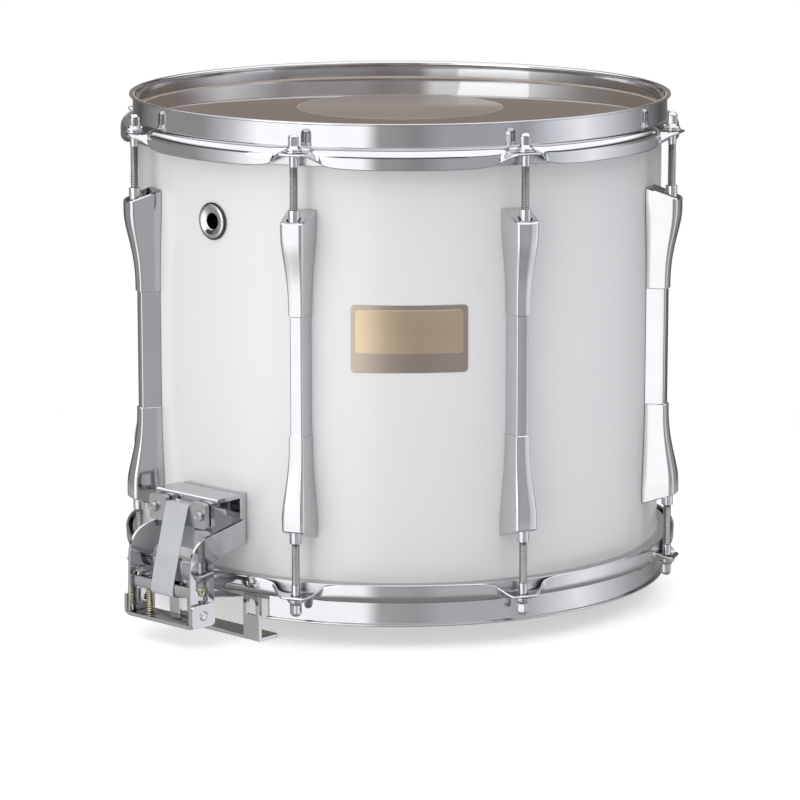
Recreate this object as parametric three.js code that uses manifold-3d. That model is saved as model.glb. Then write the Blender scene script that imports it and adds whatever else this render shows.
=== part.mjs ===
// A marching snare drum: a 14 by 12 inch shell with two tensioned heads, and a snare unit on each side.
// Lengths are millimetres and +Z is up. The snare wires run along X, and the guards' undersides are at z = 0.
import * as THREE from "three";
import { mergeVertices } from "three/addons/utils/BufferGeometryUtils.js";
import Module from "manifold-3d";

const wasm = await Module();
wasm.setup();

// Clearances and overruns
const GAP = 0.3;
const RUNNING_GAP = 0.45;
const OVERRUN = 2;
const MERGE = 1e-4;

// Shell
const SHELL_RADIUS = 178;
const SHELL_LENGTH = 304.8;
const SHELL_WALL = 6;
const EDGE_ROUND = 1.5;
const EDGE_LAND = 2.5;
const GUARD_DROP = 15;

// Heads
const FILM = 0.5;
const FLESH_HOOP_WIDTH = 6.8;
const FLESH_HOOP_HEIGHT = 9;
const FLESH_HOOP_BEVEL = 2.2;

// Rims, measured down from the rim's playing edge
const RIM_RISE = 11.1;
const RIM_SHEET = 2.4;
const RIM_OUT = 3.6;
const RIM_LIP_WIDTH = 3.6;
const RIM_LIP = 1.7;
const SHOULDER_DEPTH = 15.7;
const EAR_DEPTH = 18.7;
const EAR_LENGTH = 9.8;
const RIM_HEIGHT = 29.4;
const FLAP_SPREAD = 5.4;
const SKIRT_SPREAD = 3;
const GATE_WIDTH = 92;

// Lugs and tension rods
const LUG_COUNT = 8;
const ROD_OUT = 15;
const CASING_LENGTH = 61.6;
const LUG_TUBE_LENGTH = 78.4;
const LUG_TUBE_WIDTH = 9;
const LUG_TUBE_BACK_WIDTH = 14.2;
const LUG_TUBE_DEPTH = 12;
const CASING_WIDTH = 14.6;
const CASING_BACK_WIDTH = 19.4;
const CASING_DEPTH = 21.3;
const CASING_NECK_WIDTH = 11;
const CASING_NECK_BACK_WIDTH = 15;
const CASING_NECK_DEPTH = 13.2;
const CASING_SLANT = 7;
const CASING_STATION_SHARES = [0, 0.28, 0.47, 0.66, 1];
const SWELL_SHARES = [0.12, 0.82];
const BUSHING_RADIUS = 4.2;
const BUSHING_RISE = 8.2;
const ROD_RADIUS = 2.8;
const ROD_REACH = 16;
const ROD_HEAD_WIDTH = 6.3;
const ROD_HEAD_HEIGHT = 9;
const ROD_HEAD_TOP_SHARE = 0.6;
const ROD_FLANGE_RADIUS = 4.2;
const ROD_FLANGE = 1.8;
const WASHER_RADIUS = 5.7;
const WASHER = 1.2;

// Vent
const VENT_HOLE_RADIUS = 5.3;
const VENT_FACE_RADIUS = 12.3;
const VENT_FACE = 2.4;
const VENT_SLEEVE = 1;
const VENT_BELOW_EDGE = 58.2;

// Snare wires
const STRAND_COUNT = 14;
const STRAND_RADIUS = 0.9;
const STRAND_PITCH = 3.1;
const WIRE_INSET = 24;
const END_PLATE_LENGTH = 14;
const END_PLATE_WIDTH = 46;
const END_PLATE = 1.7;

// Snare unit: the base and arms on the shell
const UNIT_WIDTH = 59.5;
const BASE_OUT = 3.2;
const BASE_BOTTOM = 62.3;
const BASE_HEIGHT = 34.2;
const ARM_SHEET = 2;
const ARM_OUT = 49.5;
const ARM_LEG_WIDTH = 18.5;
const ARM_ROOT_TOP = 79.4;
const ARM_ROOT_BOTTOM = 63.5;
const ARM_SHOULDER_TOP = 70.3;
const ARM_SHOULDER_DEPTH = 13;
const ARM_LEAN = 1;
const ARM_WINDOW_TOP = 44;

// Snare unit: the cross bar under the arms
const CROSS_BAR_BOTTOM = 14;
const CROSS_BAR_SHEET = 2.5;
const CROSS_BAR_LEAD = 4.1;
const CROSS_BAR_WIDTH = 20;
const CROSS_TAB_HEIGHT = 16;
const CROSS_TAB_SHEET = 2;
const RIVET_RADIUS = 2.8;
const RIVET_RISE = 1.4;

// Snare unit: the bridge, its screws and springs
const BRIDGE_BOTTOM = 33;
const BRIDGE_HEIGHT = 8;
const BRIDGE_LEAD = 0.5;
const BRIDGE_DEPTH = 15;
const BRIDGE_ROUND = 2.6;
const BRIDGE_SHEET = 2.4;
const SADDLE_TOP = 58;
const SADDLE_TOP_WIDTH = 23;
const SADDLE_FOOT_WIDTH = 28.5;
const SLIDER_SHEET = 1.4;
const SLIDER_TOP = 46;
const SLIDER_HOLE_RADIUS = 2;
const HEIGHT_SCREW_SPACING = 39;
const HEIGHT_SCREW_RADIUS = 1.6;
const HEIGHT_SCREW_FRONT_INSET = 8;
const HEIGHT_SCREW_HEAD_RADIUS = 3.6;
const HEIGHT_SCREW_HEAD = 5;
const HEIGHT_SCREW_TAIL = 3;
const SCREW_TAB_HEIGHT = 6.5;
const SCREW_TAB_SHEET = 1.5;
const SCREW_TAB_LENGTH_SHARE = 0.8;
const SPRING_WIRE = 0.7;
const SPRING_RADIUS = 2.65;
const SPRING_TURNS = 10;
const SPRING_STEPS = 8;
const SPRING_SIDES = 5;

// Snare unit: the strap clamp
const HANGER_SHEET = 2.5;
const HANGER_FLANGE_HEIGHT = 16;
const HANGER_OUT = 27;
const HANGER_LIP_HEIGHT = 5;
const CLAMP_BOTTOM = 77.4;
const CLAMP_HEIGHT = 17.1;
const CLAMP_WIDTH = 52.5;
const CLAMP_BACK = 3;
const CLAMP_FRONT = 2.6;
const CLAMP_SPACE = 2.9;
const CLAMP_ROUND = 4;
const NOTCH_WIDTH = 23.5;
const NOTCH_DEPTH = 4.5;
const CLAMP_SCREW_SPACING = 43;
const CLAMP_SCREW_RADIUS = 1.8;
const CLAMP_SCREW_HEAD_RADIUS = 3.5;
const CLAMP_SCREW_HEAD = 2.6;
const CLAMP_SOCKET_SHARE = 0.9;
const STRAP_WIDTH = 20.5;
const STRAP = 0.9;
const STRAP_SHIFT = 1;
const STRAP_TAIL = 16;
const STRAP_OVERLAP = 12;

// Snare unit: the guard under the gate
const GUARD_SHEET = 2.5;
const GUARD_LEAD = 1.8;
const GUARD_WIDTH = 18;
const GUARD_LENGTH = 90;
const GUARD_POST_WIDTH = 15;
const GUARD_SLIM_POST_WIDTH = 10;
const GUARD_POST_INSET = 5;
const GUARD_WINDOW_WIDTH = 8;
const GUARD_WINDOW_BOTTOM = 17;

// Throw-off: housing, carriage, lever and knob
const HOUSING_WIDTH = 44;
const HOUSING_BOTTOM = 66;
const HOUSING_TOP = 104;
const HOUSING_OUT = 19;
const CHEEK_SHEET = 4;
const CHEEK_HEIGHT = 15;
const CHEEK_ROUND = 6;
const GUIDE_WIDTH = 16;
const GUIDE_DEPTH = 7;
const CARRIAGE_WIDTH = 36;
const CARRIAGE_BOTTOM = 74;
const CARRIAGE_TOP = 92;
const LEVER_PIN_RADIUS = 3;
const LEVER_HUB_RADIUS = 7;
const LEVER_LENGTH = 56;
const LEVER_SHEET = 3;
const LEVER_HUB_WIDTH = 26;
const LEVER_BLADE_WIDTH = 20;
const LEVER_TIP_LIFT = 7;
const KNOB_RADIUS = 5.5;
const KNOB_HEIGHT = 9;
const KNOB_STEM_RADIUS = 2;
const KNOB_BOTTOM = 57.5;
const KNOB_RIBS = 10;
const KNOB_RIB_DEPTH = 0.5;

// Heights and places that follow from the sizes above
const SHELL_BOTTOM = GUARD_DROP + RIM_RISE + FILM + GAP;
const SHELL_TOP = SHELL_BOTTOM + SHELL_LENGTH;
const DRUM_TOP = SHELL_TOP + GAP + FILM + RIM_RISE;
const MIDDLE = (SHELL_TOP + SHELL_BOTTOM) / 2;
const COLLAR_INNER = SHELL_RADIUS + GAP;
const COLLAR_OUTER = COLLAR_INNER + FILM;
const FLESH_HOOP_RADIUS = COLLAR_OUTER + FLESH_HOOP_WIDTH;
const RIM_RADIUS = SHELL_RADIUS + RIM_OUT;
const FLAP_ROOT = RIM_RADIUS + FLAP_SPREAD;
const SKIRT_RADIUS = FLAP_ROOT + SKIRT_SPREAD;
const EAR_REACH = SKIRT_RADIUS + EAR_LENGTH;
const ROD_CIRCLE = SHELL_RADIUS + ROD_OUT;
const WIRE_REACH = SHELL_RADIUS - WIRE_INSET;
const BASE_RADIUS = SHELL_RADIUS + BASE_OUT;
const ARM_FRONT = SHELL_RADIUS + ARM_OUT;
const CROSS_BAR_FRONT = ARM_FRONT + CROSS_BAR_LEAD;
const BRIDGE_FRONT = ARM_FRONT + BRIDGE_LEAD;
const HANGER_FRONT = SHELL_RADIUS + HANGER_OUT;
const HOUSING_FRONT = SHELL_RADIUS + HOUSING_OUT;
const GUARD_OUTER = RIM_RADIUS + GUARD_LEAD;
const CASING_END = LUG_TUBE_LENGTH / 2 + CASING_LENGTH;
const LUG_BACK = SHELL_RADIUS + GAP;
const LUG_FRONT = LUG_BACK + LUG_TUBE_DEPTH;
const HALF_UNIT = UNIT_WIDTH / 2;
const ARM_INNER = HALF_UNIT - ARM_SHEET;
const FILM_UNDERSIDE = SHELL_BOTTOM - GAP - FILM;
const STRAND_HEIGHT = FILM_UNDERSIDE - GAP - STRAND_RADIUS;
const END_PLATE_BOTTOM = STRAND_HEIGHT - END_PLATE - STRAND_RADIUS / 2;
const CROSS_BAR_TOP = CROSS_BAR_BOTTOM + CROSS_BAR_SHEET;
const HEIGHT_SCREW_REACH = BRIDGE_FRONT - HEIGHT_SCREW_FRONT_INSET;
const CLAMP_TOP = CLAMP_BOTTOM + CLAMP_HEIGHT;
const CLAMP_FRONT_BACK = HANGER_FRONT + CLAMP_BACK + CLAMP_SPACE;
const NOTCH_BOTTOM = CLAMP_TOP - NOTCH_DEPTH;
const STRAP_NOSE = BRIDGE_BOTTOM + BRIDGE_HEIGHT - BRIDGE_ROUND / 2;
const LEVER_PIN_HEIGHT = HOUSING_TOP + CHEEK_HEIGHT - CHEEK_ROUND;
const LEVER_PIN_REACH = HOUSING_FRONT - GUIDE_DEPTH;

// Angles round the drum in degrees, from each lug's own line: closer together where the rim's ear bends
const LUG_STEP = 360 / LUG_COUNT;
const EAR_HALF_ANGLE = 2.4;
const EAR_END_ANGLE = 7;
const EAR_MIDDLE_ANGLE = (EAR_HALF_ANGLE + EAR_END_ANGLE) / 2;
const ONE_SIDE_OF_RING = [EAR_HALF_ANGLE, EAR_END_ANGLE, 2 * EAR_END_ANGLE];
const ONE_SIDE_OF_RIM = [EAR_HALF_ANGLE, EAR_MIDDLE_ANGLE, EAR_END_ANGLE, 2 * EAR_END_ANGLE];
const RING_ANGLES = bothSides(ONE_SIDE_OF_RING);
const RIM_ANGLES = bothSides(ONE_SIDE_OF_RIM);

const MATERIALS = {
  shell: new THREE.MeshStandardMaterial({ color: 0xf4f4f2, roughness: 0.18, metalness: 0 }),
  chrome: new THREE.MeshStandardMaterial({ color: 0xc9ccd0, roughness: 0.14, metalness: 1 }),
  satin: new THREE.MeshStandardMaterial({ color: 0xa9abae, roughness: 0.38, metalness: 1 }),
  batter: new THREE.MeshStandardMaterial({ color: 0x8f8478, roughness: 0.22, metalness: 0 }),
  snareFilm: new THREE.MeshStandardMaterial({ color: 0xd9d6cc, roughness: 0.3, metalness: 0 }),
  zinc: new THREE.MeshStandardMaterial({ color: 0xb59f68, roughness: 0.4, metalness: 1 }),
  wire: new THREE.MeshStandardMaterial({ color: 0xb7a98a, roughness: 0.45, metalness: 1 }),
  strap: new THREE.MeshStandardMaterial({ color: 0xc4c8d2, roughness: 0.35, metalness: 0 }),
};

// Degrees to radians
function radians(degrees) {
  return (degrees * Math.PI) / 180;
}

// Angles on one side of a lug repeated on its other side, with the line midway to the next lug.
function bothSides(angles) {
  return [...angles.map((angle) => -angle).reverse(), ...angles, LUG_STEP / 2];
}

// Keeps only the positions, merges shared corners and drops triangles that have no area.
function tidy(geometry) {
  const bare = new THREE.BufferGeometry().setAttribute("position", geometry.getAttribute("position"));
  bare.setIndex(geometry.index);
  const merged = mergeVertices(bare, MERGE);
  const kept = [];
  for (let i = 0; i < merged.index.count; i += 3) {
    const [a, b, c] = [merged.index.getX(i), merged.index.getX(i + 1), merged.index.getX(i + 2)];
    if (a !== b && b !== c && a !== c) kept.push(a, b, c);
  }
  merged.setIndex(kept);
  return merged;
}

// A closed geometry as a solid for joining and cutting.
function solidOf(geometry) {
  const merged = tidy(geometry);
  const vertProperties = new Float32Array(merged.attributes.position.array);
  return new wasm.Manifold(
    new wasm.Mesh({ numProp: 3, vertProperties, triVerts: new Uint32Array(merged.index.array) }),
  );
}

function geometryOf(solid) {
  const mesh = solid.getMesh();
  const geometry = new THREE.BufferGeometry();
  geometry.setAttribute("position", new THREE.BufferAttribute(mesh.vertProperties, 3));
  geometry.setIndex(new THREE.BufferAttribute(mesh.triVerts, 1));
  return geometry;
}

function join(first, ...others) {
  return geometryOf(others.reduce((sum, other) => sum.add(solidOf(other)), solidOf(first)));
}

function cut(body, ...tools) {
  return geometryOf(tools.reduce((left, tool) => left.subtract(solidOf(tool)), solidOf(body)));
}

// A closed skin through rings of points that run anticlockwise seen from the far end.
// Around joins the last ring to the first; otherwise both ends are capped.
function loft(rings, around = false) {
  const sides = rings[0].length;
  const index = [];
  const spans = around ? rings.length : rings.length - 1;
  for (let i = 0; i < spans; i += 1) {
    const here = i * sides;
    const there = ((i + 1) % rings.length) * sides;
    for (let k = 0; k < sides; k += 1) {
      const next = (k + 1) % sides;
      index.push(here + k, here + next, there + next, here + k, there + next, there + k);
    }
  }
  if (!around) {
    const far = (rings.length - 1) * sides;
    for (let k = 1; k < sides - 1; k += 1) {
      index.push(0, k + 1, k, far, far + k, far + k + 1);
    }
  }
  const geometry = new THREE.BufferGeometry().setFromPoints(rings.flat());
  geometry.setIndex(index);
  return tidy(geometry);
}

// A section of [radius, height] points carried round the drum through the given angles.
function aroundDrum(sectionAt, angles) {
  const rings = [];
  for (let lug = 0; lug < LUG_COUNT; lug += 1) {
    for (const offset of angles) {
      const turn = radians((lug + 1 / 2) * LUG_STEP + offset);
      rings.push(
        sectionAt(offset).map(([r, z]) => new THREE.Vector3(r * Math.cos(turn), r * Math.sin(turn), z)),
      );
    }
  }
  return loft(rings, true);
}

// A turned piece about Z, from [radius, height] points that start and end on the axis or close.
function turned(points, sides, phase = 0) {
  const profile = points.map(([r, z]) => new THREE.Vector2(r, z));
  return tidy(new THREE.LatheGeometry(profile, sides, phase).rotateX(Math.PI / 2));
}

// A round bar about Z between two heights.
function bar(radius, bottom, top, sides) {
  return turned([[0, bottom], [radius, bottom], [radius, top], [0, top]], sides);
}

// A shape whose corners are rounded by the given radius, or by each corner's own third value.
function rounded(points, radius = 0) {
  const shape = new THREE.Shape();
  points.forEach(([x, y, own = radius], i) => {
    const corner = new THREE.Vector2(x, y);
    const [bx, by] = points[(i + points.length - 1) % points.length];
    const [ax, ay] = points[(i + 1) % points.length];
    const before = new THREE.Vector2(bx, by).sub(corner);
    const after = new THREE.Vector2(ax, ay).sub(corner);
    const size = Math.min(own, before.length() / 2, after.length() / 2);
    const start = corner.clone().addScaledVector(before.normalize(), size);
    const end = corner.clone().addScaledVector(after.normalize(), size);
    if (i === 0) shape.moveTo(start.x, start.y);
    else shape.lineTo(start.x, start.y);
    if (size > 0) shape.quadraticCurveTo(corner.x, corner.y, end.x, end.y);
  });
  shape.closePath();
  return shape;
}

// Which way an outline's x, its y and its thickness run in a snare unit, where x points out from the shell.
const FACINGS = {
  side: [[1, 0, 0], [0, 0, 1], [0, -1, 0]],
  front: [[0, 1, 0], [0, 0, 1], [1, 0, 0]],
  plan: [[1, 0, 0], [0, 1, 0], [0, 0, 1]],
};

// A slab of an outline: from low to high along Y for side, along X for front and along Z for plan.
function slab(shape, facing, low, high, curveSegments = 3) {
  const [xWay, yWay, zWay] = FACINGS[facing].map((way) => new THREE.Vector3(...way));
  const geometry = new THREE.ExtrudeGeometry(shape, {
    depth: high - low,
    bevelEnabled: false,
    curveSegments,
  });
  geometry.applyMatrix4(new THREE.Matrix4().makeBasis(xWay, yWay, zWay));
  const start = zWay.clone().multiplyScalar(zWay.dot(new THREE.Vector3(1, 1, 1)) > 0 ? low : -high);
  return tidy(geometry.translate(start.x, start.y, start.z));
}

// A plain block between two corners.
function block(low, high) {
  const size = high.map((value, i) => value - low[i]);
  const middle = high.map((value, i) => (value + low[i]) / 2);
  return tidy(new THREE.BoxGeometry(...size).translate(...middle));
}

// A round bar along a unit's outward axis, or across the unit, through a point.
function outwardBar(radius, from, to, across, height, sides) {
  return bar(radius, from, to, sides).rotateY(Math.PI / 2).translate(0, across, height);
}

function crossBarAxis(radius, from, to, reach, height, sides) {
  return bar(radius, from, to, sides).rotateX(-Math.PI / 2).translate(reach, 0, height);
}

function named(name, geometry, material, parent) {
  const mesh = new THREE.Mesh(geometry, material);
  mesh.name = name;
  parent.add(mesh);
  return mesh;
}

// The shell is a wall with a bearing edge at each end: rounded outside and bevelled inside.
function shellGeometry() {
  const inner = SHELL_RADIUS - SHELL_WALL;
  const land = SHELL_RADIUS - EDGE_ROUND;
  const bevel = SHELL_WALL - EDGE_ROUND - EDGE_LAND;
  const section = [
    [SHELL_RADIUS, SHELL_BOTTOM + EDGE_ROUND],
    [SHELL_RADIUS, SHELL_TOP - EDGE_ROUND],
    [land, SHELL_TOP],
    [land - EDGE_LAND, SHELL_TOP],
    [inner, SHELL_TOP - bevel],
    [inner, SHELL_BOTTOM + bevel],
    [land - EDGE_LAND, SHELL_BOTTOM],
    [land, SHELL_BOTTOM],
  ];
  const wall = aroundDrum(() => section.toReversed(), RING_ANGLES);
  const vent = outwardBar(
    VENT_HOLE_RADIUS + VENT_SLEEVE + GAP,
    -SHELL_RADIUS - OVERRUN,
    OVERRUN - inner,
    0,
    SHELL_TOP - VENT_BELOW_EDGE,
    12,
  );
  return cut(wall, vent);
}

// A head is a film over the bearing edge, down a collar to its flesh hoop. Up is 1 for the top head, -1 below.
function headGeometry(edge, up) {
  const hoopTop = GAP + FILM + RIM_RISE - EAR_DEPTH - GAP;
  const hoopBottom = hoopTop - FLESH_HOOP_HEIGHT;
  const bend = EDGE_ROUND + GAP;
  const section = [
    [0, GAP],
    [COLLAR_INNER - bend, GAP],
    [COLLAR_INNER, GAP - bend],
    [COLLAR_INNER, hoopBottom],
    [FLESH_HOOP_RADIUS, hoopBottom],
    [FLESH_HOOP_RADIUS, hoopTop - FLESH_HOOP_BEVEL - GAP],
    [FLESH_HOOP_RADIUS - FLESH_HOOP_BEVEL, hoopTop],
    [COLLAR_OUTER, hoopTop],
    [COLLAR_OUTER, GAP + FILM - bend],
    [COLLAR_OUTER - bend, GAP + FILM],
    [0, GAP + FILM],
  ];
  const placed = section.map(([r, z]) => [r, edge + up * z]);
  return aroundDrum(() => (up > 0 ? placed.toReversed() : placed), RING_ANGLES);
}

// How far the rim's lower flange has swung out, from 0 on the skirt to 1 on an ear.
function earShare(offset) {
  const away = Math.abs(offset);
  const share = (EAR_END_ANGLE - away) / (EAR_END_ANGLE - EAR_HALF_ANGLE);
  return THREE.MathUtils.clamp(share, 0, 1);
}

// The flange hangs down as a skirt between the lugs and swings out flat over each lug.
function rimSection(offset, edge, up) {
  const share = earShare(offset);
  const swing = (share * Math.PI) / 2;
  const length = THREE.MathUtils.lerp(RIM_HEIGHT - EAR_DEPTH - RIM_SHEET, EAR_REACH - SKIRT_RADIUS, share);
  const hinge = [SKIRT_RADIUS - RIM_SHEET, EAR_DEPTH + RIM_SHEET];
  const along = [Math.sin(swing), Math.cos(swing)];
  const across = [Math.cos(swing) * RIM_SHEET, -Math.sin(swing) * RIM_SHEET];
  const inner = [hinge[0] + along[0] * length, hinge[1] + along[1] * length];
  const outer = [inner[0] + across[0], inner[1] + across[1]];
  const knee = [hinge[0] + across[0], hinge[1] + across[1]];
  const wallInner = RIM_RADIUS - RIM_SHEET;
  const slope = FLAP_ROOT - RIM_RADIUS;
  const section = [
    [wallInner, 0],
    [RIM_RADIUS + RIM_LIP_WIDTH - RIM_LIP / 3, 0],
    [RIM_RADIUS + RIM_LIP_WIDTH, RIM_LIP / 2],
    [RIM_RADIUS, RIM_LIP],
    [RIM_RADIUS, SHOULDER_DEPTH],
    [RIM_RADIUS + slope / 2, SHOULDER_DEPTH + RIM_SHEET / 4],
    [FLAP_ROOT, EAR_DEPTH],
    knee,
    outer,
    inner,
    hinge,
    [RIM_RADIUS + slope / 2 - RIM_SHEET / 2, SHOULDER_DEPTH + RIM_SHEET + RIM_SHEET / 4],
    [wallInner, SHOULDER_DEPTH + RIM_SHEET],
  ];
  const placed = section.map(([r, depth]) => [r, edge - up * depth]);
  return up > 0 ? placed : placed.toReversed();
}

// One rim with a rod hole in each ear. The lower one is cut away at both snare units.
function rimGeometry(edge, up, gated) {
  const ring = aroundDrum((offset) => rimSection(offset, edge, up), RIM_ANGLES);
  const ear = edge - up * EAR_DEPTH;
  const tools = [];
  for (let lug = 0; lug < LUG_COUNT; lug += 1) {
    const hole = bar(ROD_RADIUS + 2 * RUNNING_GAP, ear - 2 * OVERRUN - RIM_SHEET, ear + 2 * OVERRUN, 6);
    tools.push(hole.translate(ROD_CIRCLE, 0, 0).rotateZ(radians((lug + 1 / 2) * LUG_STEP)));
  }
  if (gated) {
    const reach = RIM_RADIUS + RIM_LIP_WIDTH + OVERRUN;
    const shoulder = edge + SHOULDER_DEPTH;
    tools.push(block([-reach, -GATE_WIDTH / 2, edge - OVERRUN], [reach, GATE_WIDTH / 2, shoulder]));
  }
  return cut(ring, ...tools);
}

// One half of a lug: a casing that swells from the tube to its rod end. Along is the distance from the neck.
function casingSection(along) {
  const share = along / CASING_LENGTH;
  const swell = THREE.MathUtils.smoothstep(share, ...SWELL_SHARES);
  const depth = THREE.MathUtils.lerp(CASING_NECK_DEPTH, CASING_DEPTH, swell);
  const width = THREE.MathUtils.lerp(CASING_NECK_WIDTH, CASING_WIDTH, swell);
  const back = THREE.MathUtils.lerp(CASING_NECK_BACK_WIDTH, CASING_BACK_WIDTH, swell);
  const round = width / 5;
  const front = LUG_BACK + depth;
  return [
    [LUG_BACK, -back / 2],
    [front - round, -width / 2],
    [front, round - width / 2],
    [front, width / 2 - round],
    [front - round, width / 2],
    [LUG_BACK, back / 2],
  ];
}

// A casing from its neck to its rod end, with the swivel bushing and the rod's bore. Up is 1 above, -1 below.
// Its end slants, so that it is longest against the shell.
function casingGeometry(up) {
  const neck = LUG_TUBE_LENGTH / 2;
  const rings = CASING_STATION_SHARES.map((share) => {
    const along = share * CASING_LENGTH;
    const slant = share === 1 ? CASING_SLANT : 0;
    return casingSection(along).map(([x, y]) => {
      const inward = (LUG_BACK + CASING_DEPTH - x) / CASING_DEPTH;
      return new THREE.Vector3(x, y, MIDDLE + up * (neck + along + slant * inward));
    });
  });
  const casing = loft(up > 0 ? rings : rings.toReversed());
  const end = MIDDLE + up * CASING_END;
  const bushingTop = end + up * BUSHING_RISE;
  const bushingRoot = end - up * BUSHING_RISE;
  const heights = [bushingRoot, bushingTop].sort((a, b) => a - b);
  const bushing = bar(BUSHING_RADIUS, ...heights, 8).translate(ROD_CIRCLE, 0, 0);
  const boreEnds = [end - up * (ROD_REACH + OVERRUN), bushingTop + up * OVERRUN].sort((a, b) => a - b);
  const bore = bar(ROD_RADIUS + 2 * RUNNING_GAP, ...boreEnds, 6).translate(ROD_CIRCLE, 0, 0);
  return { body: join(casing, bushing), bore };
}

// The whole lug: two casings and the tube between them.
function lugGeometry() {
  const top = casingGeometry(1);
  const bottom = casingGeometry(-1);
  const half = LUG_TUBE_WIDTH / 2;
  const backHalf = LUG_TUBE_BACK_WIDTH / 2;
  const round = LUG_TUBE_WIDTH / 4;
  const outline = rounded([
    [LUG_BACK, -backHalf],
    [LUG_FRONT, -half, round],
    [LUG_FRONT, half, round],
    [LUG_BACK, backHalf],
  ]);
  const reach = LUG_TUBE_LENGTH / 2 + OVERRUN;
  const tube = slab(outline, "plan", MIDDLE - reach, MIDDLE + reach);
  return cut(join(top.body, tube, bottom.body), top.bore, bottom.bore);
}

// A tension rod with its washer, standing on Z above the ear, drawn for the upper rim.
function rodGeometry() {
  const ear = DRUM_TOP - EAR_DEPTH + GAP;
  const flangeBottom = ear + WASHER;
  const headBottom = flangeBottom + ROD_FLANGE;
  const tip = MIDDLE + CASING_END - ROD_REACH;
  const stem = turned(
    [
      [0, tip],
      [ROD_RADIUS, tip],
      [ROD_RADIUS, ear],
      [WASHER_RADIUS, ear],
      [WASHER_RADIUS, flangeBottom],
      [ROD_FLANGE_RADIUS, headBottom],
      [0, headBottom],
    ],
    8,
  );
  const half = ROD_HEAD_WIDTH / 2;
  const dome = ROD_HEAD_HEIGHT / 6;
  const square = (size, height) => [
    new THREE.Vector3(-size, -size, height),
    new THREE.Vector3(size, -size, height),
    new THREE.Vector3(size, size, height),
    new THREE.Vector3(-size, size, height),
  ];
  const head = loft([
    square(half, headBottom - ROD_FLANGE / 2),
    square(half, headBottom + ROD_HEAD_HEIGHT - dome),
    square(half * ROD_HEAD_TOP_SHARE, headBottom + ROD_HEAD_HEIGHT),
  ]);
  return join(stem, head);
}

// The vent grommet: a dished face ring and a sleeve through the shell.
function ventGeometry() {
  const back = SHELL_RADIUS + GAP;
  const sleeve = VENT_HOLE_RADIUS + VENT_SLEEVE;
  const inner = SHELL_RADIUS - SHELL_WALL;
  const ring = turned(
    [
      [VENT_HOLE_RADIUS, inner],
      [sleeve, inner],
      [sleeve, back],
      [VENT_FACE_RADIUS, back],
      [VENT_FACE_RADIUS, back + VENT_FACE / 2],
      [VENT_FACE_RADIUS - VENT_FACE / 2, back + VENT_FACE],
      [sleeve, back + VENT_FACE / 2],
      [VENT_HOLE_RADIUS, back + VENT_FACE / 4],
      [VENT_HOLE_RADIUS, inner],
    ],
    16,
  );
  return ring.rotateY(-Math.PI / 2).translate(0, 0, SHELL_TOP - VENT_BELOW_EDGE);
}

// The snare wires: strands side by side, held by a plate at each end.
function snareWiresGeometry() {
  const middle = (STRAND_COUNT - 1) / 2;
  const pieces = [];
  for (const side of [-1, 1]) {
    const ends = [side * (WIRE_REACH - END_PLATE_LENGTH), side * WIRE_REACH].sort((a, b) => a - b);
    pieces.push(
      block(
        [ends[0], -END_PLATE_WIDTH / 2, END_PLATE_BOTTOM],
        [ends[1], END_PLATE_WIDTH / 2, END_PLATE_BOTTOM + END_PLATE],
      ),
    );
  }
  const reach = WIRE_REACH - END_PLATE_LENGTH / 4;
  for (let i = 0; i < STRAND_COUNT; i += 1) {
    const across = (i - middle) * STRAND_PITCH;
    pieces.push(outwardBar(STRAND_RADIUS, -reach, reach, across, STRAND_HEIGHT, 5));
  }
  return join(...pieces);
}

// The back of the base follows the shell, so its casting is thicker towards both sides.
function baseShape() {
  const shape = new THREE.Shape();
  const back = SHELL_RADIUS + GAP;
  const spread = Math.asin(HALF_UNIT / back);
  shape.moveTo(BASE_RADIUS, -HALF_UNIT);
  shape.lineTo(BASE_RADIUS, HALF_UNIT);
  shape.absarc(0, 0, back, spread, -spread, true);
  return shape;
}

// The side outline of an arm: out from the base, over a shoulder and down to the cross bar.
function armShape() {
  const legBack = ARM_FRONT - ARM_LEG_WIDTH;
  const foot = CROSS_BAR_TOP + GAP;
  const root = BASE_RADIUS - SHELL_WALL / 3;
  const shoulder = (ARM_SHOULDER_DEPTH + ARM_LEG_WIDTH) / 2;
  return rounded([
    [legBack, foot],
    [ARM_FRONT, foot],
    [ARM_FRONT - ARM_LEAN, ARM_SHOULDER_TOP, shoulder],
    [root, ARM_ROOT_TOP],
    [root, ARM_ROOT_BOTTOM],
    [legBack, ARM_SHOULDER_TOP - ARM_SHOULDER_DEPTH, ARM_SHOULDER_DEPTH / 2],
  ]);
}

// The base casting with an arm down each side, each leg with a window for the bridge's slider.
function frameGeometry() {
  const base = slab(baseShape(), "plan", BASE_BOTTOM, BASE_BOTTOM + BASE_HEIGHT, 8);
  const right = slab(armShape(), "side", ARM_INNER, HALF_UNIT, 6);
  const left = slab(armShape(), "side", -HALF_UNIT, -ARM_INNER, 6);
  const side = ARM_LEG_WIDTH / 4;
  const window = slab(
    rounded(
      [
        [ARM_FRONT - ARM_LEG_WIDTH + side, CROSS_BAR_BOTTOM + CROSS_TAB_HEIGHT],
        [ARM_FRONT - side, CROSS_BAR_BOTTOM + CROSS_TAB_HEIGHT],
        [ARM_FRONT - side, ARM_WINDOW_TOP],
        [ARM_FRONT - ARM_LEG_WIDTH + side, ARM_WINDOW_TOP],
      ],
      side / 2,
    ),
    "side",
    -HALF_UNIT - OVERRUN,
    HALF_UNIT + OVERRUN,
  );
  return cut(join(base, right, left), window);
}

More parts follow.
